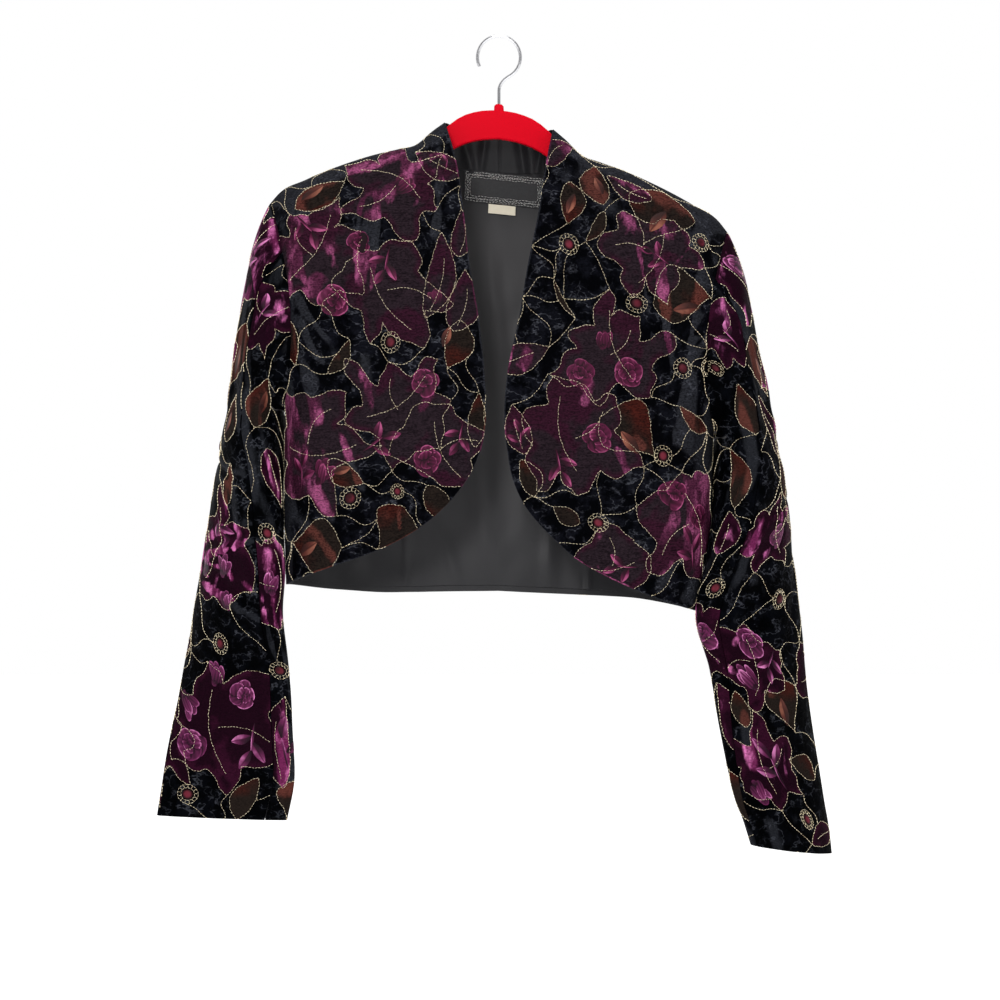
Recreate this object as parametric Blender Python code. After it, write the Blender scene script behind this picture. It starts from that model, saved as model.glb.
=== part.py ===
"""A cropped open-front jacket hung on a curved plastic hanger, every cut piece a thin cloth wall.

Metres. X runs to the viewer's right (the wearer's left), the fronts face -Y and Z is up. The origin is
the inside of the hook's crown. "Drop" is the distance below the top of the hanger's nub, before the
tilt of the hanger is put in, and "right" and "left" are the wearer's.
"""

import math

import bmesh
import bpy
import numpy as np

# Cloth and sewing
CLOTH = 0.0018
LINING = 0.0011
LABEL_CLOTH = 0.0010
SEAM_GAP = 0.0003
NUB_DROP = 0.062
TILT = math.tan(math.radians(3.65))

# The ridge of collar peak, neck point, shoulder and shoulder tip: distance out, drop
RIDGE = np.array([
    (0.0505, 0.0200), (0.0620, 0.0290), (0.0770, 0.0425), (0.0930, 0.0475), (0.1180, 0.0550),
    (0.1400, 0.0633), (0.1800, 0.0818), (0.2050, 0.0965), (0.2120, 0.1050)])
SHOULDER_TIP = RIDGE[-1]
BACK_NECK_DROP = 0.0230
COLLAR_ROUND = 0.035
SHOULDER_ROUND = 0.075
ROUND_FROM = 0.060
ROUND_RUN = 0.080
FOLD_FADE = 0.3

# Body sections: drop, half width right, half width left, depth in front, depth behind, side rounding
BODY = np.array([
    (0.020, 0.2120, 0.2120, 0.020, 0.024, 0.030),
    (0.067, 0.2120, 0.2120, 0.036, 0.043, 0.030),
    (0.105, 0.2120, 0.2120, 0.046, 0.049, 0.030),
    (0.200, 0.2055, 0.2055, 0.053, 0.053, 0.030),
    (0.294, 0.1994, 0.1994, 0.053, 0.053, 0.040),
    (0.380, 0.2000, 0.1970, 0.049, 0.051, 0.048),
    (0.459, 0.1980, 0.1830, 0.045, 0.048, 0.052)])
HEM_DROP = BODY[-1, 0]

# Rise of the back hem above its side seams: fraction from side seam to centre, rise right, rise left
HEM_RISE = np.array([
    (0.00, 0.0000, 0.0000), (0.15, -0.0026, 0.0040), (0.30, -0.0032, 0.0067), (0.45, -0.0030, 0.0068),
    (0.60, -0.0009, 0.0063), (0.80, 0.0022, 0.0056), (1.00, 0.0051, 0.0051)])

# Front edges from collar peak to hem corner: drop, distance out right, distance out left
FRONT_EDGE = np.array([
    (0.020, 0.0505, 0.0505), (0.050, 0.0412, 0.0442), (0.100, 0.0330, 0.0365), (0.150, 0.0275, 0.0266),
    (0.200, 0.0190, 0.0183), (0.250, 0.0135, 0.0080), (0.297, 0.0122, 0.0051), (0.325, 0.0172, 0.0080),
    (0.350, 0.0288, 0.0132), (0.375, 0.0476, 0.0262), (0.400, 0.0755, 0.0500), (0.422, 0.1130, 0.0785),
    (0.440, 0.1560, 0.1190), (0.452, 0.1845, 0.1540), (0.459, 0.1980, 0.1830)])
FRONT_CORNER_DROP = 0.375

# Largest folds of the fronts: side, distance out at top and foot, drop at top and foot, half width, height
FRONT_FOLDS = (
    ("right", 0.116, 0.132, 0.085, 0.250, 0.022, -0.0040),
    ("right", 0.160, 0.150, 0.110, 0.330, 0.026, 0.0030),
    ("right", 0.086, 0.084, 0.330, 0.440, 0.018, -0.0030),
    ("left", 0.132, 0.150, 0.110, 0.300, 0.022, -0.0042),
    ("left", 0.172, 0.168, 0.130, 0.330, 0.020, 0.0030),
    ("left", 0.070, 0.070, 0.350, 0.430, 0.018, -0.0030))
BACK_FOLDS = (
    ("right", 0.110, 0.125, 0.110, 0.330, 0.030, -0.0035),
    ("left", 0.105, 0.120, 0.110, 0.350, 0.030, -0.0035),
    ("right", 0.050, 0.040, 0.200, 0.455, 0.024, 0.0025),
    ("left", 0.048, 0.060, 0.240, 0.455, 0.024, 0.0025))

# Armholes and the underarm hinge about which the cap's rings fan out
ARMHOLE_INSET = 0.014
UNDERARM_DROP = 0.294
HINGE = (0.1992, 0.299)
HINGE_RADIUS = 0.0045
TURN_STEP = 15
BACK_SEAM_ANGLE = 165.0
SLEEVE_SEAM = 0.9
CAP_BLEND = 1.6
TOP_COLUMNS = 9
UNDER_COLUMNS = 15

# Front sleeve seam: ring, angle right, angle left
FRONT_SEAM = np.array([
    (0, 30, 30), (4, 22, 22), (8, 15, 15), (12, 28, 36), (15, 42, 18), (17, 48, 10)], dtype=float)

# Cap rings: angle from upright, reach right, reach left, half depth, set back
CAP = np.array([
    (5.2, 0.1945, 0.1945, 0.0470, 0.000),
    (10.1, 0.1630, 0.1632, 0.0500, 0.002),
    (15.4, 0.1320, 0.1325, 0.0530, 0.004),
    (26.6, 0.0960, 0.0965, 0.0560, 0.007),
    (40.0, 0.0735, 0.0770, 0.0585, 0.009),
    (55.8, 0.0605, 0.0645, 0.0600, 0.011),
    (73.0, 0.0555, 0.0605, 0.0610, 0.013),
    (90.0, 0.0545, 0.0600, 0.0615, 0.014)])

# Sleeve rings below the cap: drop, outer edge, two axes, turn of the front tip, set back, angle from upright
SLEEVE_RIGHT = np.array([
    (0.322, 0.2580, 0.123, 0.0589, 0, 0.015, 90.0),
    (0.348, 0.2635, 0.123, 0.0605, 9, 0.015, 90.0),
    (0.376, 0.2690, 0.123, 0.0612, 17, 0.015, 90.0),
    (0.407, 0.2748, 0.123, 0.0613, 24, 0.015, 90.0),
    (0.444, 0.2806, 0.123, 0.0593, 32, 0.014, 90.0),
    (0.491, 0.2884, 0.122, 0.0487, 42, 0.013, 90.0),
    (0.538, 0.2961, 0.122, 0.0380, 55, 0.012, 90.0),
    (0.587, 0.3048, 0.123, 0.0330, 66, 0.012, 90.0),
    (0.639, 0.3138, 0.126, 0.0280, 79, 0.012, 91.0),
    (0.681, 0.3195, 0.123, 0.0230, 85, 0.012, 92.0)])
SLEEVE_LEFT = np.array([
    (0.322, 0.2655, 0.123, 0.0668, 0, 0.015, 90.0),
    (0.348, 0.2706, 0.123, 0.0687, 10, 0.015, 90.0),
    (0.378, 0.2743, 0.123, 0.0665, 21, 0.016, 90.0),
    (0.418, 0.2797, 0.122, 0.0614, 37, 0.016, 90.0),
    (0.466, 0.2850, 0.122, 0.0540, 52, 0.015, 90.0),
    (0.512, 0.2898, 0.119, 0.0420, 50, 0.014, 90.0),
    (0.568, 0.2968, 0.116, 0.0400, 50, 0.014, 90.0),
    (0.625, 0.3062, 0.110, 0.0380, 52, 0.012, 92.0),
    (0.650, 0.3102, 0.107, 0.0400, 50, 0.012, 94.0),
    (0.676, 0.3138, 0.104, 0.0420, 47, 0.012, 96.0)])

# Largest sleeve folds: side, ring at top and foot, angle at top and foot, half width in degrees, height
SLEEVE_FOLDS = (
    ("right", 1.0, 7.5, 62, 48, 20, -0.0045),
    ("right", 2.0, 8.5, 20, 16, 16, 0.0035),
    ("right", 10.0, 15.5, 60, 66, 22, -0.0035),
    ("right", 9.0, 14.0, 215, 205, 26, -0.0040),
    ("left", 1.0, 7.0, 60, 46, 20, -0.0045),
    ("left", 3.0, 9.0, 18, 12, 16, 0.0035),
    ("left", 9.5, 14.5, 64, 58, 22, -0.0040),
    ("left", 9.0, 14.0, 210, 200, 26, -0.0040))

# Inside of the back: fractions up and across a half back, label and tab in metres
FACING_FOOT = 0.9165
FACING_TOP = 0.990
FACING_COLUMN = 0.790
FACING_SEAM = 0.0010
LINING_FOOT = 0.0130
LINING_STAND = 0.0008
LINING_FIRST_COLUMN = 2
LABEL_STAND = 0.0010
LABEL_SIZE = (0.0755, 0.0290)
LABEL_CENTRE = (0.0049, 0.0752)
LABEL_TURN = math.radians(2.2)
TAB_SIZE = (0.0255, 0.0085)
TAB_CENTRE = (0.0028, 0.0942)

# Hanger: distance out, drop of the upper edge, drop of the lower edge
HANGER = np.array([
    (0.000, 0.0056, 0.0325), (0.020, 0.0083, 0.0352), (0.035, 0.0140, 0.0405), (0.048, 0.0240, 0.0485),
    (0.062, 0.0390, 0.0615), (0.077, 0.0515, 0.0725), (0.093, 0.0575, 0.0775), (0.140, 0.0730, 0.0920),
    (0.180, 0.0915, 0.1085), (0.194, 0.1000, 0.1155)])
HANGER_THICKNESS = 0.0090
HANGER_EDGE = 0.0015
NUB_WIDTH = 0.0092
HOOK_WIRE_RADIUS = 0.0016
HOOK_BEND_RADIUS = 0.0200
HOOK_SHANK = 0.0125
HOOK_SWEEP = (-62, 205)

SIDES = {"right": -1.0, "left": 1.0}
COLOURS = {
    "velvet": (0.030, 0.010, 0.028),
    "satin": (0.035, 0.035, 0.038),
    "label": (0.012, 0.012, 0.014),
    "tab": (0.760, 0.700, 0.560),
    "plastic": (0.790, 0.010, 0.020),
    "steel": (0.600, 0.600, 0.620)}


def smooth_through(knots, values, at):
    """Smooth curve through table rows, as a cubic with the rows' own slopes."""
    slopes = np.gradient(values, knots)
    at = np.clip(at, knots[0], knots[-1])
    row = np.clip(np.searchsorted(knots, at) - 1, 0, len(knots) - 2)
    span = knots[row + 1] - knots[row]
    t = (at - knots[row]) / span
    start = (1 + 2 * t) * (1 - t) ** 2 * values[row] + t * (1 - t) ** 2 * span * slopes[row]
    end = t * t * (3 - 2 * t) * values[row + 1] + t * t * (t - 1) * span * slopes[row + 1]
    return start + end


def along(line, fractions):
    """Places at fractions of a line's length."""
    steps = np.linalg.norm(np.diff(line, axis=0), axis=1)
    length = np.concatenate([[0.0], np.cumsum(steps)])
    return np.stack([np.interp(np.asarray(fractions) * length[-1], length, line[:, k]) for k in (0, 1)], -1)


def ease(t):
    """Smooth step from 0 to 1."""
    t = np.clip(t, 0.0, 1.0)
    return t * t * (3 - 2 * t)


def round_over(distance, radius):
    """Quarter ellipse that lifts the cloth from a seam to its full depth."""
    return np.sqrt(1.0 - (1.0 - np.clip(distance / radius, 0.0, 1.0)) ** 2)


def ridge_drop(out):
    """Drop of the shoulder and collar ridge at a distance out."""
    return smooth_through(RIDGE[:, 0], RIDGE[:, 1], out)


RIDGE_OUTS = np.linspace(RIDGE[0, 0], RIDGE[-1, 0], 80)
RIDGE_LINE = np.stack([RIDGE_OUTS, ridge_drop(RIDGE_OUTS)], -1)


def ridge_distance(out, drop):
    """Shortest distance from places of a panel to the ridge."""
    start, run = RIDGE_LINE[:-1], np.diff(RIDGE_LINE, axis=0)
    away = np.stack([out, drop], -1)[..., None, :] - start
    t = np.clip(np.sum(away * run, axis=-1) / np.sum(run * run, axis=-1), 0.0, 1.0)
    return np.linalg.norm(away - t[..., None] * run, axis=-1).min(axis=-1)


def body_column(side, column, drop):
    """One column of the body table, with the half width of the side asked for."""
    place = {"half": 1 if side == "right" else 2, "front": 3, "back": 4, "round": 5}[column]
    return smooth_through(BODY[:, 0], BODY[:, place], drop)


def fold_height(folds, side, out, drop):
    """Height that the tabled folds add at places of a panel."""
    total = np.zeros(np.shape(out))
    for fold_side, top_out, foot_out, top, foot, half_width, height in folds:
        if fold_side == side:
            t = (drop - top) / (foot - top)
            across = (out - (top_out + (foot_out - top_out) * t)) / half_width
            fade = ease(t / FOLD_FADE) * ease((1.0 - t) / FOLD_FADE)
            total = total + height * fade * np.exp(-across ** 2)
    return total


def body_depth(side, face, out, drop):
    """Distance of the front or back cloth from the seam plane."""
    edge = round_over(body_column(side, "half", drop) - out, body_column(side, "round", drop))
    roof_radius = COLLAR_ROUND + (SHOULDER_ROUND - COLLAR_ROUND) * ease((out - ROUND_FROM) / ROUND_RUN)
    roof = round_over(ridge_distance(out, drop), roof_radius)
    folds = fold_height(FRONT_FOLDS if face == "front" else BACK_FOLDS, side, out, drop)
    return (body_column(side, face, drop) + folds) * edge * roof


def armhole(side, angle):
    """Distance out and drop round an armhole: 90 degrees is the shoulder tip, 0 the front."""
    lift = np.sin(np.radians(angle))
    drop = (SHOULDER_TIP[1] + UNDERARM_DROP) / 2 - lift * (UNDERARM_DROP - SHOULDER_TIP[1]) / 2
    out = body_column(side, "half", drop) - ARMHOLE_INSET * (1.0 - lift ** 2)
    return out, drop


def armhole_inward(angle):
    """Way into the garment from the armhole's edge, square to the line of the seam."""
    return np.stack([np.zeros(np.shape(angle)), np.cos(np.radians(angle)), -np.sin(np.radians(angle))], -1)


def panel_grid(foot, top, outer, inner, across, up):
    """Places between four border lines, each blended across the panel."""
    s, t = np.meshgrid(across, up)
    s, t = s[..., None], t[..., None]
    corners = ((1 - s) * (1 - t) * foot[0] + s * (1 - t) * foot[-1] + (1 - s) * t * top[0] + s * t * top[-1])
    return (1 - t) * foot[None] + t * top[None] + (1 - s) * outer[:, None] + s * inner[:, None] - corners


def panel_points(side, face, places, seams, ridge=slice(0)):
    """Outer and inner points of a panel, with the way in at its seams and the top points on the ridge."""
    out, drop = places[..., 0], places[..., 1]
    step = 0.0004
    way = 1.0 if face == "back" else -1.0
    depth = body_depth(side, face, out, drop)
    depth[-1, ridge] = 0.0
    rise_out = body_depth(side, face, out + step, drop) - body_depth(side, face, out - step, drop)
    rise_down = body_depth(side, face, out, drop + step) - body_depth(side, face, out, drop - step)
    inward = np.stack([rise_out, np.full(out.shape, -2 * step * way), -rise_down], -1)
    inward /= np.linalg.norm(inward, axis=-1, keepdims=True)
    outer = np.stack([out, way * np.maximum(depth, SEAM_GAP / 2), -drop], -1)
    inward = np.where(np.isnan(seams), inward, seams)
    return outer, outer + inward * CLOTH, inward


def hung(points, side="left"):
    """Puts half-body points on their side, below the hook and down the hanger's tilt."""
    placed = np.array(points, dtype=float)
    placed[..., 0] *= SIDES[side]
    placed[..., 2] -= NUB_DROP + placed[..., 0] * TILT
    return placed


def side_rows():
    """Rows up a panel's outer border: the side seam, then the armhole in even turns."""
    seam = np.linspace(HEM_DROP, UNDERARM_DROP, 8)[:-1]
    turns = np.arange(-90, 91, TURN_STEP)
    return seam, turns


def outer_border(side, turns, seam):
    """Places up the side seam and round the front or back of the armhole to the shoulder tip."""
    side_line = np.stack([body_column(side, "half", seam), seam], -1)
    return np.concatenate([side_line, np.stack(armhole(side, turns), -1)])


def border_inward(side, face, seam, turns):
    """Way into the garment along the outer border."""
    side_way = np.tile((-1.0, 0.0, 0.0), (len(seam), 1))
    arm_way = armhole_inward(turns)
    arm_way[:, 1] *= 1.0 if face == "front" else -1.0
    return np.concatenate([side_way, arm_way])


def ridge_inward(out):
    """Way into the garment along the ridge, square to its line."""
    step = 0.0005
    slope = (ridge_drop(out + step) - ridge_drop(out - step)) / (2 * step)
    way = np.stack([-slope, np.zeros(out.shape), -np.ones(out.shape)], -1)
    return way / np.linalg.norm(way, axis=-1, keepdims=True)


def front_panel(side):
    """Outer and inner grids of one front, from side seam to front edge."""
    across = np.array([0, 0.012, 0.04, 0.085, 0.15, 0.24, 0.35, 0.47, 0.60, 0.72, 0.836, 0.92, 1.0])
    seam, turns = side_rows()
    outer = outer_border(side, turns, seam)
    up = (outer[0, 1] - outer[:, 1]) / (outer[0, 1] - outer[-1, 1])
    column = 1 if side == "right" else 2
    edge_drop = np.linspace(FRONT_EDGE[0, 0], HEM_DROP, 400)
    edge = np.stack([smooth_through(FRONT_EDGE[:, 0], FRONT_EDGE[:, column], edge_drop), edge_drop], -1)
    upper = edge[edge_drop <= FRONT_CORNER_DROP][::-1]
    lower = np.concatenate([edge[edge_drop > FRONT_CORNER_DROP][::-1], upper[:1]])
    ridge_out = SHOULDER_TIP[0] + across * (RIDGE[0, 0] - SHOULDER_TIP[0])
    top = np.stack([ridge_out, ridge_drop(ridge_out)], -1)
    places = panel_grid(along(lower, across), top, outer, along(upper, up), across, up)
    seams = np.full(places.shape[:2] + (3,), np.nan)
    seams[-1] = ridge_inward(ridge_out)
    seams[:, 0] = border_inward(side, "front", seam, turns)
    return panel_points(side, "front", places, seams, slice(None))[:2]


def back_half(side):
    """Columns, rows, outer and inner points and inward ways of a half back, from side seam to centre."""
    reach = np.array([1.0, 0.985, 0.955, 0.91, 0.84, 0.75, 0.65, 0.54, 0.4387, 0.3632, 0.30, 0.2382,
                      0.21, 0.175, 0.13, 0.07, 0.0])
    across = 1.0 - reach
    seam, turns = side_rows()
    outer = outer_border(side, turns, seam)
    up = (outer[0, 1] - outer[:, 1]) / (outer[0, 1] - outer[-1, 1])
    ridge_out = SHOULDER_TIP[0] * reach
    on_ridge = ridge_out >= RIDGE[0, 0] - 1e-4
    neck = BACK_NECK_DROP + (RIDGE[0, 1] - BACK_NECK_DROP) * (ridge_out / RIDGE[0, 0]) ** 2
    top = np.stack([ridge_out, np.where(on_ridge, ridge_drop(ridge_out), neck)], -1)
    rise = smooth_through(HEM_RISE[:, 0], HEM_RISE[:, 1 if side == "right" else 2], across)
    foot = np.stack([outer[0, 0] * reach, HEM_DROP - rise], -1)
    middle = np.stack([np.zeros(len(up)), foot[-1, 1] + up * (top[-1, 1] - foot[-1, 1])], -1)
    places = panel_grid(foot, top, outer, middle, across, up)
    seams = np.full(places.shape[:2] + (3,), np.nan)
    seams[-1, on_ridge] = ridge_inward(ridge_out[on_ridge])
    seams[:, 0] = border_inward(side, "back", seam, turns)
    centre = places[:, -1:]
    seams[:, -1:] = panel_points(side, "back", centre, np.full(centre.shape[:2] + (3,), np.nan))[2]
    seams[:, -1, 0] = 0.0
    return across, up, *panel_points(side, "back", places, seams, on_ridge)


def back_panel():
    """Outer and inner grids of the whole back, its halves joined on the centre line."""
    grids = []
    for layer in (2, 3):
        right = hung(back_half("right")[layer], "right")
        left = hung(back_half("left")[layer], "left")
        middle = (right[:, -1:] + left[:, -1:]) / 2
        grids.append(np.concatenate([right[:, :-1], middle, left[:, -2::-1]], axis=1))
    return grids


def sleeve_columns(side, ring):
    """Centre, outward way, half axes, turn and set-back of a sleeve ring, read from cap and sleeve rows."""
    rows = []
    for angle, reach_right, reach_left, half_depth, back in CAP:
        reach = reach_right if side == "right" else reach_left
        middle = (reach + HINGE_RADIUS) / 2
        way = math.radians(angle)
        rows.append((HINGE[0] + middle * math.sin(way), HINGE[1] - middle * math.cos(way), angle,
                     half_depth, (reach - HINGE_RADIUS) / 2, 0.0, back))
    table = SLEEVE_RIGHT if side == "right" else SLEEVE_LEFT
    for drop, outer, long_axis, short_axis, turn, back, lie in table:
        way = math.radians(turn)
        half = math.hypot(long_axis / 2 * math.sin(way), short_axis / 2 * math.cos(way))
        rows.append((outer - half, drop, lie, long_axis / 2, short_axis / 2, turn, back))
    rows = np.array(rows)
    stations = np.arange(len(rows), dtype=float)
    return [smooth_through(stations, rows[:, k], ring) for k in range(rows.shape[1])]


def sleeve_point(side, ring, angle):
    """Outer points of a sleeve; angle 0 is the front tip of a ring, 90 its outer edge, 270 its inner one."""
    centre_out, centre_drop, way, deep, wide, turn, back = sleeve_columns(side, ring)
    way, turn, round_angle = np.radians(way), np.radians(turn), np.radians(angle)
    lift = np.zeros(np.shape(ring * angle))
    for fold_side, top, foot, top_angle, foot_angle, half_width, height in SLEEVE_FOLDS:
        if fold_side == side:
            t = (ring - top) / (foot - top)
            off = (angle - top_angle - (foot_angle - top_angle) * t + 180.0) % 360.0 - 180.0
            fade = ease(t / FOLD_FADE) * ease((1.0 - t) / FOLD_FADE)
            lift = lift + height * fade * np.exp(-(off / half_width) ** 2)
    long_part = (deep + lift) * np.cos(round_angle)
    short_part = (wide + lift) * np.sin(round_angle)
    outward = short_part * np.cos(turn) - long_part * np.sin(turn)
    forward = long_part * np.cos(turn) + short_part * np.sin(turn)
    ideal = np.stack([centre_out + outward * np.sin(way), back - forward,
                      -(centre_drop - outward * np.cos(way))], -1)
    arm_out, arm_drop = armhole(side, angle)
    front = body_depth(side, "front", arm_out, arm_drop)
    behind = body_depth(side, "back", arm_out, arm_drop)
    depth = np.where(np.cos(round_angle) > 0, -front, behind)
    start = np.stack(np.broadcast_arrays(arm_out + SEAM_GAP, depth, -arm_drop), -1)
    blend = ease(ring / CAP_BLEND)[..., None]
    return start * (1 - blend) + ideal * blend


def sleeve_piece(side, piece):
    """Outer and inner grids of the top or under sleeve, between its two seams."""
    last = len(CAP) + len(SLEEVE_RIGHT) - 1
    rings = np.concatenate([np.arange(0, 7.1, 0.5), np.arange(8, last + 0.1, 1.0)])
    front = smooth_through(FRONT_SEAM[:, 0], FRONT_SEAM[:, 1 if side == "right" else 2], rings)[:, None]
    if piece == "top":
        angle = front + (BACK_SEAM_ANGLE - front) * np.linspace(0, 1, TOP_COLUMNS + 1)
    else:
        start = BACK_SEAM_ANGLE + SLEEVE_SEAM
        angle = start + (front + 360.0 - SLEEVE_SEAM - start) * np.linspace(0, 1, UNDER_COLUMNS + 1)
    ring = np.repeat(rings[:, None], angle.shape[1], 1)
    outer = sleeve_point(side, ring, angle)
    turn_way = sleeve_point(side, ring, angle + 0.5) - sleeve_point(side, ring, angle - 0.5)
    down_way = sleeve_point(side, ring + 0.02, angle) - sleeve_point(side, ring - 0.02, angle)
    inward = np.cross(turn_way, down_way)
    inward /= np.linalg.norm(inward, axis=-1, keepdims=True)
    inward[0] = armhole_inward(angle[0])
    return outer, outer + inward * CLOTH


def back_inside(side, across, up, lift):
    """Points raised from the inside of a half back, at fractions across it and up it."""
    columns, rows, _, inner, inward = back_half(side)
    column = np.interp(across, columns, np.arange(len(columns)))
    row = np.interp(up, rows, np.arange(len(rows)))
    raised = inner + inward * lift
    low = np.minimum(row.astype(int), len(rows) - 2)
    near = np.minimum(column.astype(int), len(columns) - 2)
    t = (row - low)[:, None, None]
    s = (column - near)[None, :, None]
    foot = raised[low][:, near] * (1 - s) + raised[low][:, near + 1] * s
    top = raised[low + 1][:, near] * (1 - s) + raised[low + 1][:, near + 1] * s
    return hung(foot * (1 - t) + top * t, side)


def inside_patch(size, centre, lift):
    """Points of a small flat piece that lies inside the back's centre."""
    across, down = np.meshgrid(np.linspace(-0.5, 0.5, 9) * size[0], np.linspace(-0.5, 0.5, 4) * size[1])
    out = centre[0] + across * math.cos(LABEL_TURN) - down * math.sin(LABEL_TURN)
    drop = centre[1] + across * math.sin(LABEL_TURN) + down * math.cos(LABEL_TURN)
    depth = body_depth("left", "back", np.abs(out), drop) - lift
    return hung(np.stack([out, depth, -drop], -1))


def wall(name, outer, inner, colour, collection):
    """Closed cloth wall between an outer and an inner grid of points."""
    rows, columns = outer.shape[:2]
    shape = bmesh.new()
    layers = []
    for grid in (outer, inner):
        layers.append([[shape.verts.new(grid[r, c]) for c in range(columns)] for r in range(rows)])
    for layer in layers:
        for r in range(rows - 1):
            for c in range(columns - 1):
                corners = (layer[r][c], layer[r][c + 1], layer[r + 1][c + 1], layer[r + 1][c])
                split = 0 if c < columns // 2 else 1
                shape.faces.new((corners[split], corners[split + 1], corners[split + 2]))
                shape.faces.new((corners[split + 2], corners[(split + 3) % 4], corners[split]))
    rim = [(0, c) for c in range(columns)] + [(r, columns - 1) for r in range(1, rows)]
    rim += [(rows - 1, c) for c in range(columns - 2, -1, -1)] + [(r, 0) for r in range(rows - 2, 0, -1)]
    for (r, c), (r2, c2) in zip(rim, rim[1:] + rim[:1]):
        shape.faces.new((layers[0][r][c], layers[0][r2][c2], layers[1][r2][c2], layers[1][r][c]))
    bmesh.ops.recalc_face_normals(shape, faces=shape.faces)
    mesh = bpy.data.meshes.new(name)
    shape.to_mesh(mesh)
    shape.free()
    return add_object(name, mesh, colour, collection)


def add_object(name, data, colour, collection):
    """Links a named object that has its own material."""
    thing = bpy.data.objects.new(name, data)
    collection.objects.link(thing)
    material = bpy.data.materials.new(name)
    material.use_nodes = True
    shader = material.node_tree.nodes["Principled BSDF"]
    shader.inputs["Base Color"].default_value = COLOURS[colour] + (1.0,)
    shader.inputs["Roughness"].default_value = 0.3 if colour in ("plastic", "steel") else 0.8
    data.materials.append(material)
    return thing


def hanger_bar(collection):
    """Arched bar with a nub on top, a flat outline given its thickness."""
    outs = np.linspace(0.0, HANGER[-1, 0], 26)
    upper = np.stack([outs, smooth_through(HANGER[:, 0], HANGER[:, 1], outs)], -1)
    lower = np.stack([outs, smooth_through(HANGER[:, 0], HANGER[:, 2], outs)], -1)
    tip = (upper[-1] + lower[-1]) / 2
    swing = np.radians(np.arange(75, -76, -30))
    half_tip = (lower[-1, 1] - upper[-1, 1]) / 2
    end = np.stack([tip[0] + half_tip * np.cos(swing), tip[1] - half_tip * np.sin(swing)], -1)
    arm = np.concatenate([upper[upper[:, 0] > NUB_WIDTH / 2], end, lower[:0:-1]])
    half_nub = NUB_WIDTH / 2
    nub = np.array([(0.0, 0.0), (half_nub * 0.6, 0.0004), (half_nub * 0.95, 0.0022), (half_nub, 0.0062)])
    right_arm = np.concatenate([nub[1:], arm])
    outline = np.concatenate([nub[:1], right_arm, lower[:1], right_arm[::-1] * (-1, 1)])
    curve = bpy.data.curves.new("hanger_bar", "CURVE")
    curve.dimensions = "2D"
    curve.fill_mode = "BOTH"
    curve.extrude = HANGER_THICKNESS / 2 - HANGER_EDGE
    curve.bevel_depth = HANGER_EDGE
    curve.bevel_resolution = 1
    curve.offset = -HANGER_EDGE
    spline = curve.splines.new("POLY")
    spline.points.add(len(outline) - 1)
    for point, (x, drop) in zip(spline.points, outline):
        point.co = (x, -NUB_DROP - drop - x * TILT, 0.0, 1.0)
    spline.use_cyclic_u = True
    bar = add_object("hanger_bar", curve, "plastic", collection)
    bar.rotation_euler = (math.pi / 2, 0.0, 0.0)


def hanger_hook(collection):
    """Plain wire hook that rises from the nub and bends over; its crown's underside is the origin."""
    bend_z = HOOK_WIRE_RADIUS - HOOK_BEND_RADIUS
    angles = np.radians(np.linspace(HOOK_SWEEP[0], HOOK_SWEEP[1], 26))
    bend = np.stack([HOOK_BEND_RADIUS * np.cos(angles), bend_z + HOOK_BEND_RADIUS * np.sin(angles)], -1)
    foot = np.array([0.0, -NUB_DROP + SEAM_GAP])
    neck = foot + (0.0, HOOK_SHANK)
    way_in = np.array([-math.sin(angles[0]), math.cos(angles[0])])
    reach = np.linalg.norm(bend[0] - neck) / 3
    a, b = neck + (0.0, reach), bend[0] - way_in * reach
    t = np.linspace(0.0, 1.0, 8)[:-1, None]
    sweep = (1 - t) ** 3 * neck + 3 * t * (1 - t) ** 2 * a + 3 * t * t * (1 - t) * b + t ** 3 * bend[0]
    route = np.concatenate([foot[None], sweep, bend])
    curve = bpy.data.curves.new("hanger_hook", "CURVE")
    curve.dimensions = "3D"
    curve.bevel_depth = HOOK_WIRE_RADIUS
    curve.bevel_resolution = 2
    curve.use_fill_caps = True
    spline = curve.splines.new("POLY")
    spline.points.add(len(route) - 1)
    for point, (x, z) in zip(spline.points, route):
        point.co = (x, 0.0, z, 1.0)
    add_object("hanger_hook", curve, "steel", collection)


def inside_back(name, across, up, thickness, parts):
    """A satin layer over both halves of the back's inside."""
    grids = []
    for lift in (LINING_STAND, LINING_STAND + thickness):
        right = back_inside("right", across, up, lift)
        left = back_inside("left", across, up, lift)
        middle = (right[:, -1:] + left[:, -1:]) / 2
        grids.append(np.concatenate([right[:, :-1], middle, left[:, -2::-1]], axis=1))
    wall(name, *grids, "satin", parts)


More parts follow.
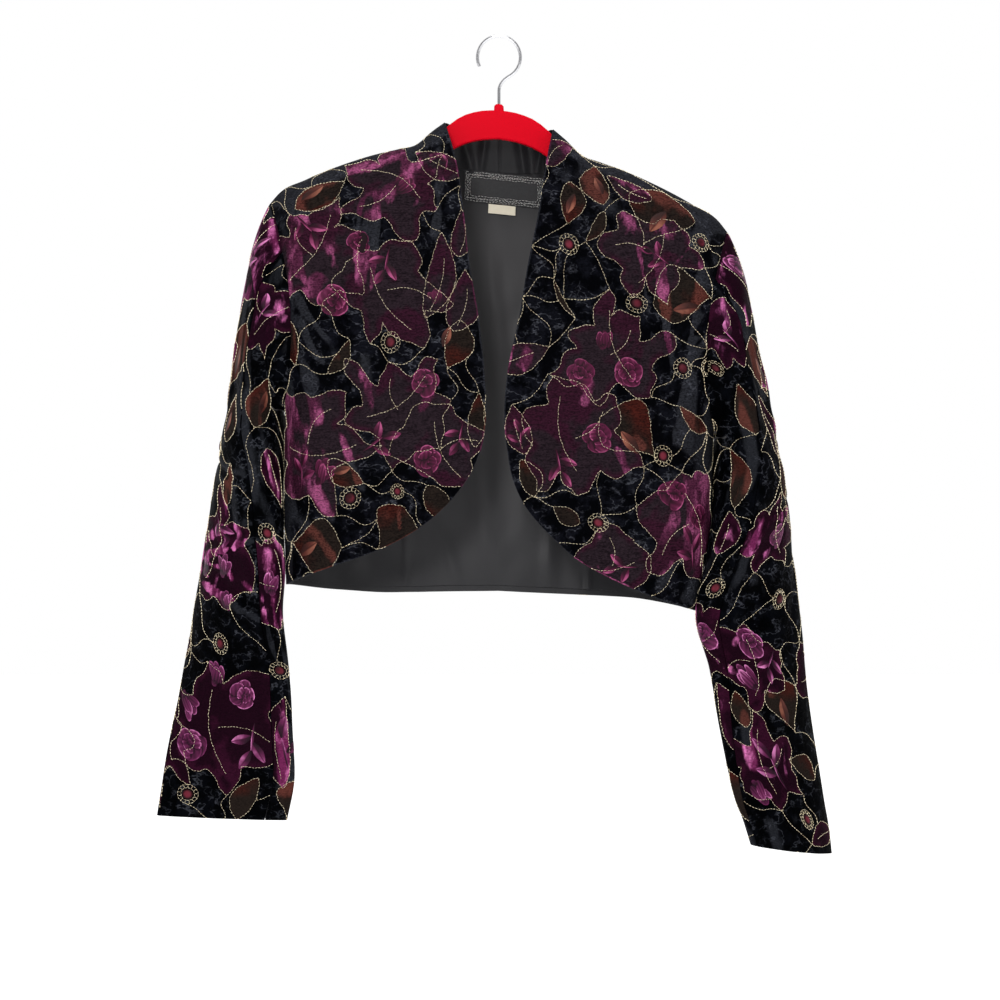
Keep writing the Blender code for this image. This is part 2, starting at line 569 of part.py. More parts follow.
def build():
    """Makes every piece in one collection."""
    for thing in list(bpy.data.objects):
        bpy.data.objects.remove(thing)
    parts = bpy.data.collections.new("cropped_jacket")
    bpy.context.scene.collection.children.link(parts)

    for side in SIDES:
        outer, inner = front_panel(side)
        wall("front_" + side, hung(outer, side), hung(inner, side), "velvet", parts)
        for piece in ("top", "under"):
            outer, inner = sleeve_piece(side, piece)
            wall("sleeve_" + piece + "_" + side, hung(outer, side), hung(inner, side), "velvet", parts)
    outer, inner = back_panel()
    wall("back", outer, inner, "velvet", parts)

    columns, rows = back_half("left")[:2]
    lined = rows[(rows > LINING_FOOT + 0.01) & (rows < FACING_FOOT - 0.01)]
    inside_back("lining_back", columns[LINING_FIRST_COLUMN:],
                np.concatenate([[LINING_FOOT], lined, [FACING_FOOT - 0.001]]), LINING, parts)
    faced = rows[(rows > FACING_FOOT + 0.01) & (rows < FACING_TOP - 0.004)]
    for side in SIDES:
        facing_columns = columns[columns >= FACING_COLUMN - 0.001].copy()
        facing_columns[-1] -= FACING_SEAM
        up = np.concatenate([[FACING_FOOT], faced, [FACING_TOP]])
        under = back_inside(side, facing_columns, up, LINING_STAND)
        over = back_inside(side, facing_columns, up, LINING_STAND + LINING)
        wall("neck_facing_" + side, under, over, "satin", parts)

    on_lining = CLOTH + LINING_STAND + LINING + LABEL_STAND
    for name, size, centre, lift, colour in (
            ("label", LABEL_SIZE, LABEL_CENTRE, on_lining, "label"),
            ("size_tab", TAB_SIZE, TAB_CENTRE, on_lining + LABEL_CLOTH + SEAM_GAP, "tab")):
        under = inside_patch(size, centre, lift)
        over = inside_patch(size, centre, lift + LABEL_CLOTH)
        wall(name, under, over, colour, parts)

    hanger_bar(parts)
    hanger_hook(parts)


build()
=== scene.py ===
"""Looks of the cropped jacket: printed velvet with gold stitching, a satin inside and a red hanger.

Metres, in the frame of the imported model: X runs to the viewer's right (the wearer's left), the fronts face
-Y, Z is up, and the origin is inside the crown of the hook. "Drop" is the distance below the top of the
hanger's nub before the tilt of the hanger is put in, and "right" and "left" are the wearer's.
"""

import math

import bpy
import numpy as np
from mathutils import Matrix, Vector
from mathutils.kdtree import KDTree


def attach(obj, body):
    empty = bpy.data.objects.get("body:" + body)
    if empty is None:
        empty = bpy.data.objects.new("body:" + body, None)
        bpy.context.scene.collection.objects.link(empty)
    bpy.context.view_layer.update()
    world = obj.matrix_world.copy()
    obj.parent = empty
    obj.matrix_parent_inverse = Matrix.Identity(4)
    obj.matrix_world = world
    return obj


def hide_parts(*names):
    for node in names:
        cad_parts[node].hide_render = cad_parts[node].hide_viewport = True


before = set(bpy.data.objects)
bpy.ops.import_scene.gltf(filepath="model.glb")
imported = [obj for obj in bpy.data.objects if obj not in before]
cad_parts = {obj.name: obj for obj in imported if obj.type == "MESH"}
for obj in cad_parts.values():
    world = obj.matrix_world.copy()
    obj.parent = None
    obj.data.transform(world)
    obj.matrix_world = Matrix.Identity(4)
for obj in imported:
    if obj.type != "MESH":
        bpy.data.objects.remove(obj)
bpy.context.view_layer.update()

# Thickness of the cloths, gap at seams, and the place and tilt of the hanger
CLOTH = 0.0018
LINING = 0.0011
LABEL_CLOTH = 0.0010
SEAM_GAP = 0.00006
NUB_DROP = 0.062
TILT = math.tan(math.radians(3.65))

# Way along X to each side, a side's column in tables that have one for each, and millimetres in a metre
SIDES = {"right": -1.0, "left": 1.0}
SIDE_COLUMN = {"right": 1, "left": 2}
MM = 1000.0

# Velvet grids: spacing, cloth across each piece, and how the columns crowd towards the side seams
GRID = 0.0023
ACROSS = {"front": 0.195, "back": 0.205, "top": 0.145, "under": 0.190}
COLUMN_CROWD = 1.25

# Smaller grids: columns and rows, then rings and turns of the raised patches
LINING_GRID = (80, 70)
FACING_GRID = (40, 36)
LABEL_GRID = (49, 21)
TAB_GRID = (21, 10)
FLOWER_GRID = (20, 52)
LEAFLET_GRID = (7, 22)
STONE_GRID = (7, 22)

# Points of the fine lines along which grids are spaced, and small steps for finding slopes
RIDGE_POINTS = 80
EDGE_POINTS = 800
RING_POINTS = 600
SLOPE_STEP = 0.0004
RIDGE_STEP = 0.0005
TURN_STEP = 0.5
RING_STEP = 0.02
RIDGE_MISS = 1e-4

# Finding a place on the flat cloth: rounds, longest step in grid cells, largest miss in metres
FIND_ROUNDS = 4
FIND_STEP = 1.5
FIND_MISS = 0.0008
TINY = 1e-12

# The ridge of collar peak, neck point, shoulder and shoulder tip: distance out, drop
RIDGE = np.array([
    (0.0505, 0.0200), (0.0620, 0.0290), (0.0770, 0.0425), (0.0930, 0.0475), (0.1180, 0.0550),
    (0.1400, 0.0633), (0.1800, 0.0818), (0.2050, 0.0965), (0.2120, 0.1050)])
SHOULDER_TIP = RIDGE[-1]
BACK_NECK_DROP = 0.0230

# Rounding of collar and shoulders, fade of folds at their ends, share of the rounding that is laid flat
COLLAR_ROUND = 0.035
SHOULDER_ROUND = 0.075
ROUND_FROM = 0.060
ROUND_RUN = 0.080
FOLD_FADE = 0.3
LAY_FLAT = 0.6

# Body sections: drop, half width right, half width left, depth in front, depth behind, side rounding
BODY = np.array([
    (0.020, 0.2120, 0.2120, 0.020, 0.024, 0.030),
    (0.067, 0.2120, 0.2120, 0.036, 0.043, 0.030),
    (0.105, 0.2120, 0.2120, 0.046, 0.049, 0.030),
    (0.200, 0.2055, 0.2055, 0.053, 0.053, 0.030),
    (0.294, 0.1994, 0.1994, 0.053, 0.053, 0.040),
    (0.380, 0.2000, 0.1970, 0.049, 0.051, 0.048),
    (0.459, 0.1980, 0.1830, 0.045, 0.048, 0.052)])
HEM_DROP = BODY[-1, 0]

# Rise of the back hem above its side seams: fraction from side seam to centre, rise right, rise left
HEM_RISE = np.array([
    (0.00, 0.0000, 0.0000), (0.15, -0.0026, 0.0040), (0.30, -0.0032, 0.0067), (0.45, -0.0030, 0.0068),
    (0.60, -0.0009, 0.0063), (0.80, 0.0022, 0.0056), (1.00, 0.0051, 0.0051)])

# Front edges from collar peak to hem corner: drop, distance out right, distance out left
FRONT_EDGE = np.array([
    (0.020, 0.0505, 0.0505), (0.050, 0.0412, 0.0442), (0.100, 0.0330, 0.0365), (0.150, 0.0275, 0.0266),
    (0.200, 0.0190, 0.0183), (0.250, 0.0135, 0.0080), (0.297, 0.0122, 0.0051), (0.325, 0.0172, 0.0080),
    (0.350, 0.0288, 0.0132), (0.375, 0.0476, 0.0262), (0.400, 0.0755, 0.0500), (0.422, 0.1130, 0.0785),
    (0.440, 0.1560, 0.1190), (0.452, 0.1845, 0.1540), (0.459, 0.1980, 0.1830)])
FRONT_CORNER_DROP = 0.375

# Largest folds by side: distance out at top and foot, drop at top and foot, half width, height
FRONT_FOLDS = {
    "right": (
        (0.116, 0.132, 0.085, 0.250, 0.022, -0.0040), (0.160, 0.150, 0.110, 0.330, 0.026, 0.0030),
        (0.086, 0.084, 0.330, 0.440, 0.018, -0.0030)),
    "left": (
        (0.132, 0.150, 0.110, 0.300, 0.022, -0.0042), (0.172, 0.168, 0.130, 0.330, 0.020, 0.0030),
        (0.070, 0.070, 0.350, 0.430, 0.018, -0.0030))}
BACK_FOLDS = {
    "right": (
        (0.110, 0.125, 0.110, 0.330, 0.030, -0.0035), (0.050, 0.040, 0.200, 0.455, 0.024, 0.0025)),
    "left": (
        (0.105, 0.120, 0.110, 0.350, 0.030, -0.0035), (0.048, 0.060, 0.240, 0.455, 0.024, 0.0025))}

# Finer creases of the body, in the same columns
FRONT_CREASES = {
    "right": (
        (0.118, 0.128, 0.092, 0.178, 0.0045, -0.0022), (0.110, 0.118, 0.100, 0.200, 0.0060, 0.0016),
        (0.188, 0.150, 0.172, 0.232, 0.0060, -0.0014), (0.190, 0.158, 0.205, 0.262, 0.0055, 0.0013),
        (0.194, 0.176, 0.236, 0.318, 0.0070, -0.0015), (0.086, 0.085, 0.362, 0.412, 0.0030, -0.0012),
        (0.052, 0.060, 0.060, 0.150, 0.0080, 0.0011), (0.150, 0.120, 0.300, 0.380, 0.0090, 0.0012)),
    "left": (
        (0.133, 0.150, 0.112, 0.238, 0.0042, -0.0024), (0.142, 0.160, 0.120, 0.250, 0.0060, 0.0017),
        (0.206, 0.178, 0.172, 0.210, 0.0050, -0.0017), (0.204, 0.172, 0.192, 0.236, 0.0055, 0.0016),
        (0.190, 0.184, 0.160, 0.300, 0.0065, -0.0016), (0.070, 0.071, 0.396, 0.428, 0.0030, -0.0012),
        (0.105, 0.130, 0.300, 0.372, 0.0090, 0.0012), (0.176, 0.186, 0.330, 0.430, 0.0080, 0.0016))}
BACK_CREASES = {
    "right": (
        (0.190, 0.150, 0.150, 0.215, 0.0070, -0.0016), (0.086, 0.085, 0.350, 0.440, 0.0035, -0.0013),
        (0.170, 0.150, 0.280, 0.400, 0.0090, 0.0014)),
    "left": (
        (0.188, 0.155, 0.165, 0.225, 0.0070, -0.0016), (0.082, 0.081, 0.350, 0.440, 0.0035, -0.0013),
        (0.150, 0.165, 0.300, 0.420, 0.0090, 0.0014), (0.030, 0.020, 0.120, 0.220, 0.0120, 0.0010))}

# Slight waves of the cloth: height, then rate, swing and the swing's own rate
WAVE_HEIGHT = 0.0005
WAVE_ACROSS = (95, 3, 31)
WAVE_DOWN = (72, 2, 40)
SLEEVE_WAVE = (2.3, 2, 2)
SLEEVE_WAVES_ROUND = 5

# Wrinkles and dart seams of the satin inside the back, in the same columns, with left as positive
SATIN_FOLDS = (
    (-0.083, -0.084, 0.360, 0.470, 0.0016, -0.0006), (-0.087, -0.088, 0.350, 0.475, 0.0030, 0.0014),
    (0.081, 0.080, 0.360, 0.470, 0.0016, -0.0006), (0.085, 0.084, 0.350, 0.475, 0.0030, 0.0014),
    (-0.140, -0.128, 0.330, 0.450, 0.0080, 0.0026), (-0.062, -0.036, 0.380, 0.455, 0.0060, 0.0018),
    (-0.020, -0.012, 0.250, 0.440, 0.0120, 0.0030), (0.028, 0.020, 0.170, 0.420, 0.0090, 0.0024),
    (0.052, 0.046, 0.330, 0.460, 0.0070, 0.0022), (0.120, 0.132, 0.340, 0.450, 0.0080, 0.0024),
    (-0.012, 0.006, 0.110, 0.260, 0.0070, 0.0016), (-0.040, -0.022, 0.010, 0.072, 0.0045, 0.0042),
    (-0.010, -0.018, 0.010, 0.068, 0.0035, 0.0030), (0.000, 0.001, 0.005, 0.072, 0.0012, -0.0006),
    (0.016, 0.026, 0.010, 0.072, 0.0045, 0.0040), (0.042, 0.034, 0.012, 0.070, 0.0035, 0.0032))

# Armholes and the underarm hinge about which the cap's rings fan out
ARMHOLE_INSET = 0.014
UNDERARM_DROP = 0.294
HINGE = (0.1992, 0.299)
HINGE_RADIUS = 0.0022
BACK_SEAM_ANGLE = 165.0
SLEEVE_SEAM = 0.9
BICEPS_RING = 8.0
CAP_BLEND = 1.6

# Angles round a sleeve at which its flat cloth is measured
CLOTH_ANGLES = np.arange(-200.0, 175.0, 2.5)

# Front sleeve seam: ring, angle right, angle left
FRONT_SEAM = np.array([
    (0, 30, 30), (4, 22, 22), (8, 15, 15), (12, 28, 36), (15, 42, 18), (17, 48, 10)], dtype=float)

# Cap rings: angle from upright, reach right, reach left, half depth, set back
CAP = np.array([
    (5.2, 0.1945, 0.1945, 0.0470, 0.000),
    (10.1, 0.1630, 0.1632, 0.0500, 0.002),
    (15.4, 0.1320, 0.1325, 0.0530, 0.004),
    (26.6, 0.0960, 0.0965, 0.0560, 0.007),
    (40.0, 0.0735, 0.0770, 0.0585, 0.009),
    (55.8, 0.0605, 0.0645, 0.0600, 0.011),
    (73.0, 0.0555, 0.0605, 0.0610, 0.013),
    (90.0, 0.0545, 0.0600, 0.0615, 0.014)])

# Sleeve rings below the cap: drop, outer edge, two axes, turn of the front tip, set back, angle from upright
SLEEVE_RIGHT = np.array([
    (0.322, 0.2580, 0.123, 0.0595, 0, 0.015, 90.0),
    (0.348, 0.2635, 0.123, 0.0612, 9, 0.015, 90.0),
    (0.376, 0.2690, 0.123, 0.0620, 17, 0.015, 90.0),
    (0.407, 0.2748, 0.123, 0.0613, 24.6, 0.015, 90.0),
    (0.444, 0.2806, 0.123, 0.0593, 32.6, 0.014, 90.0),
    (0.491, 0.2884, 0.122, 0.0487, 42, 0.013, 90.0),
    (0.538, 0.2961, 0.122, 0.0380, 55, 0.012, 90.0),
    (0.587, 0.3048, 0.123, 0.0330, 66, 0.012, 90.0),
    (0.639, 0.3138, 0.126, 0.0280, 79, 0.012, 91.0),
    (0.681, 0.3195, 0.123, 0.0230, 85, 0.012, 92.0)])
SLEEVE_LEFT = np.array([
    (0.322, 0.2655, 0.123, 0.0678, 0, 0.015, 90.0),
    (0.348, 0.2706, 0.123, 0.0698, 10, 0.015, 90.0),
    (0.378, 0.2743, 0.123, 0.0684, 21, 0.016, 90.0),
    (0.418, 0.2797, 0.122, 0.0614, 38.6, 0.016, 90.0),
    (0.466, 0.2850, 0.122, 0.0540, 53.5, 0.015, 90.0),
    (0.512, 0.2898, 0.119, 0.0420, 50, 0.014, 90.0),
    (0.568, 0.2968, 0.116, 0.0400, 50, 0.014, 90.0),
    (0.625, 0.3062, 0.110, 0.0380, 52, 0.012, 92.0),
    (0.650, 0.3102, 0.107, 0.0400, 50, 0.012, 94.0),
    (0.676, 0.3138, 0.104, 0.0420, 47, 0.012, 96.0)])
LAST_RING = len(CAP) + len(SLEEVE_RIGHT) - 1

# Largest sleeve folds by side: ring at top and foot, angle at top and foot, half width in degrees, height
SLEEVE_FOLDS = {
    "right": (
        (1.0, 7.5, 62, 48, 20, -0.0045), (2.0, 8.5, 20, 16, 16, 0.0035),
        (10.0, 15.5, 60, 66, 22, -0.0035), (9.0, 14.0, 215, 205, 26, -0.0040)),
    "left": (
        (1.0, 7.0, 60, 46, 20, -0.0045), (3.0, 9.0, 18, 12, 16, 0.0035),
        (9.5, 14.5, 64, 58, 22, -0.0040), (9.0, 14.0, 210, 200, 26, -0.0040))}

# Finer creases of the sleeves, in the same columns
SLEEVE_CREASES = {
    "right": (
        (1.5, 6.0, 42, 34, 6, -0.0022), (2.5, 7.5, 78, 66, 7, 0.0018), (6.0, 10.5, 352, 345, 6, -0.0018),
        (9.5, 12.5, 50, 74, 6, -0.0020), (10.5, 13.5, 82, 62, 7, 0.0018),
        (12.0, 15.5, 20, 8, 6, -0.0016), (9.5, 12.5, 140, 120, 8, -0.0018),
        (11.0, 14.5, 185, 210, 8, 0.0016), (10.9, 11.8, 10, 130, 17, -0.0024),
        (11.2, 12.0, 8, 120, 15, 0.0020), (11.9, 12.9, 125, 20, 17, -0.0022),
        (12.3, 13.2, 120, 24, 15, 0.0018), (8.8, 9.8, 120, 30, 16, -0.0020),
        (10.6, 11.6, 170, 280, 18, -0.0022)),
    "left": (
        (1.5, 5.5, 44, 34, 6, -0.0022), (2.5, 7.0, 80, 70, 7, 0.0018), (5.5, 10.0, 350, 342, 6, -0.0018),
        (9.0, 12.5, 54, 20, 6, -0.0022), (10.0, 13.0, 74, 48, 7, 0.0019),
        (13.5, 16.5, 84, 70, 6, -0.0018), (9.5, 12.5, 142, 124, 8, -0.0018),
        (11.5, 15.0, 190, 212, 8, 0.0016), (10.3, 11.3, 0, 120, 17, -0.0024),
        (10.7, 11.7, 6, 118, 15, 0.0020), (11.6, 12.6, 116, 10, 17, -0.0022),
        (12.6, 13.6, 0, 100, 16, 0.0020), (8.9, 9.8, 110, 30, 16, -0.0020),
        (10.8, 11.8, 170, 280, 18, -0.0022))}

# Lining and neck facings: fractions up and across a half back, stand from the velvet in metres
FACING_FOOT = 0.9165
FACING_TOP = 0.990
FACING_COLUMN = 0.790
FACING_SEAM = 0.0010
LINING_FOOT = 0.0130
LINING_TOP = FACING_FOOT - 0.001
LINING_FIRST = 0.045
LINING_STAND = 0.0008

# Label and size tab in metres: stand from the lining, sizes, centres and turn, and the label's border
LABEL_STAND = 0.0010
LABEL_SIZE = (0.0755, 0.0290)
LABEL_CENTRE = (0.0049, 0.0752)
LABEL_TURN = math.radians(2.2)
BORDER_INSET = 0.0036
BORDER_WAVE = 0.0022
BORDER_WAVES = 26
BORDER_SWING = 0.7
BORDER_POINTS = 500
TAB_SIZE = (0.0255, 0.0085)
TAB_CENTRE = (0.0028, 0.0942)

# Lobed leaves: kind, then tips and the notches between them in turn, each of angle in degrees and reach
LOBED = {
    "ivy": (
        (90, 1.00), (60, 0.60), (30, 0.96), (2, 0.62), (-34, 0.88), (-66, 0.54), (-96, 0.74),
        (-124, 0.54), (-150, 0.90), (176, 0.60), (146, 0.94), (116, 0.58)),
    "maple": (
        (90, 1.00), (74, 0.64), (54, 0.86), (30, 0.52), (6, 1.00), (-22, 0.62), (-48, 0.80), (-82, 0.46),
        (-114, 0.80), (-142, 0.58), (-168, 0.94), (162, 0.62), (138, 0.90), (112, 0.60)),
    "trefoil": (
        (90, 1.00), (52, 0.60), (12, 0.96), (-32, 0.64), (-78, 0.78), (-124, 0.60), (-164, 0.92),
        (130, 0.62)),
    "horned": (
        (68, 1.00), (40, 0.60), (6, 0.96), (-24, 0.62), (-54, 0.80), (-88, 0.54), (-120, 0.74),
        (-152, 0.60), (176, 0.92), (146, 0.62), (116, 0.98), (92, 0.52))}

# Unevenness of lobed leaves: seed, swing in degrees, reach, bow and wave of the sides
LEAF_SEED = (31, 7)
LEAF_SWING = 9.0
LEAF_UNEVEN = 0.15
LEAF_BOW = (-0.04, 0.20)
LEAF_WAVE = 0.11
LEAF_SIDE_POINTS = 14

# Veins of a lobed leaf: start and end as shares of two tips' reach, bow
LEAF_VEINS = ((0.55, 0.70, 0.12), (0.05, 0.68, -0.14))
VEIN_POINTS = 16

# Plain leaves: kind, width over length, place of the widest point
PLAIN = {"oval": (0.62, 0.44), "slim": (0.36, 0.42), "fan": (0.95, 0.66), "stem": (0.13, 0.50)}
PURPLE_PLAIN = {"petal": (0.56, 0.40), "blade": (0.34, 0.45)}

# Form of plain leaves: bow and its change, bluntness, narrower half, outline points, line ends, rib
PLAIN_BOW = 0.13
BOW_CHANGE = 1.7
PLAIN_BLUNT = 0.9
PLAIN_UNEVEN = 0.88
PLAIN_POINTS = 40
PLAIN_TIPS = [0, 20, 39, 58]
RIB = (-0.40, 0.22, 12)

# Flowers: petals one over another, each of across, up, half length, half width, turn and lightness
FLOWERS = {
    "rose": (
        (0.02, 0.25, 0.29, 0.20, -4, 0.85), (-0.24, 0.10, 0.27, 0.21, 68, 0.72),
        (0.26, 0.07, 0.28, 0.20, -74, 0.80), (-0.16, -0.20, 0.27, 0.20, 140, 0.66),
        (0.15, -0.23, 0.28, 0.19, 214, 0.92), (-0.09, 0.09, 0.19, 0.15, 44, 0.95),
        (0.11, 0.06, 0.18, 0.14, -60, 0.75), (0.01, -0.10, 0.19, 0.12, 184, 1.0),
        (0.00, 0.01, 0.09, 0.07, 20, 0.55)),
    "bud": (
        (0.00, 0.20, 0.17, 0.26, 0, 0.62), (-0.19, 0.06, 0.15, 0.33, 16, 0.90),
        (0.19, 0.04, 0.15, 0.33, -18, 0.82), (-0.03, -0.03, 0.17, 0.34, 3, 1.0),
        (0.01, -0.33, 0.13, 0.12, 180, 0.5))}

# Unevenness of petals: seed, shift, size, turn in degrees, lightness
PETAL_SEED = (17, 5)
PETAL_SHIFT = 0.06
PETAL_SIZE = (0.80, 1.25)
PETAL_TURN = 25
PETAL_LIGHT = (0.65, 1.15)

# Leaflets of a sprig, and the one of an ember: base, tip, width over length
SPRIG_LEAFLETS = (
    ((0.0, -0.5), (0.08, 0.1), 0.10), ((0.04, -0.1), (0.42, 0.22), 0.42),
    ((0.02, -0.2), (-0.36, 0.06), 0.44), ((0.08, 0.08), (-0.04, 0.52), 0.44))
EMBER_LEAFLET = ((0.0, -0.5), (0.0, 0.5), 0.42)

# Raised patches: kinds, rise above the cloth, root below it, first rings, and the search for a flower's rim
PATCH_KINDS = ("rose", "bud", "sprig", "ember")
PATCH_RISE = 0.0003
PATCH_ROOT = 0.0004
DISC_FIRST = 0.04
FLOWER_FIRST = 0.03
FLOWER_REACH = 0.8
FLOWER_PROBES = 160

# Streaks of painted sheen where brushed nap would catch the light: millimetres across and down of both ends,
# half width, strength
PAINTED_GLEAMS = {
    "front_right": (
        (118, 100, 128, 190, 7, 0.9), (160, 168, 176, 196, 9, 0.9), (126, 236, 116, 300, 8, 0.6),
        (60, 268, 74, 296, 6, 0.8), (196, 150, 190, 260, 6, 0.5), (66, 60, 52, 40, 6, 0.6)),
    "front_left": (
        (146, 120, 156, 200, 6, 0.7), (30, 226, 20, 250, 8, 0.8), (186, 360, 178, 410, 9, 0.9),
        (86, 250, 76, 280, 6, 0.7), (196, 280, 206, 330, 8, 0.6), (120, 300, 136, 316, 6, 0.7)),
    "sleeve_top_right": (
        (54, -150, 44, -40, 10, 0.7), (110, -120, 120, 60, 9, 0.6), (76, 120, 74, 190, 8, 0.4),
        (36, 20, 34, 110, 7, 0.7), (110, 300, 104, 380, 8, 0.3)),
    "sleeve_under_right": (
        (4, -60, 8, 80, 8, 0.8), (6, 262, 8, 350, 13, 1.0), (10, 130, 8, 200, 6, 0.25)),
    "sleeve_top_left": (
        (36, -170, 46, -60, 12, 1.0), (84, -160, 104, -40, 12, 0.9), (30, 40, 28, 130, 7, 0.8),
        (66, 90, 58, 160, 9, 0.4), (26, 230, 24, 300, 8, 0.8), (28, 330, 24, 380, 10, 0.6)),
    "sleeve_under_left": (
        (-4, -70, 2, 40, 8, 0.8), (-14, 240, -10, 300, 9, 0.9), (-6, 330, -4, 400, 8, 0.7)),
    "back": (
        (-110, 120, -122, 320, 10, 0.7), (106, 120, 118, 340, 10, 0.7), (-190, 180, -186, 300, 10, 0.6),
        (190, 200, 186, 320, 10, 0.6), (10, 300, 4, 420, 9, 0.5))}

# Share of the painted sheen that creases raise, less where a sleeve hangs turned from the light
PAINTED_SHEEN_SHARE = {
    "sleeve_top_right": 0.8, "sleeve_under_right": 0.7, "sleeve_top_left": 0.55, "sleeve_under_left": 0.5}

# Painted sheen: smoothing that finds the crowns of folds, their full height, sheen painted on crowns, on
# turned cloth and on the fronts' edges
SMOOTH_ROUNDS = 6
SMOOTH_SHARE = 0.8
CROWN_HEIGHT = 0.00025
CROWN_SHEEN = 0.7
TURNED_FROM = 0.35
TURNED_RUN = 0.6
TURNED_SHEEN = 0.30
EDGE_SHEEN = 0.8

# Print: depth where no motif is near, and margins round a motif for its depth and its span, in metres
NO_MOTIF = -0.02
DEPTH_MARGIN = 0.012
SPAN_MARGIN = 0.003

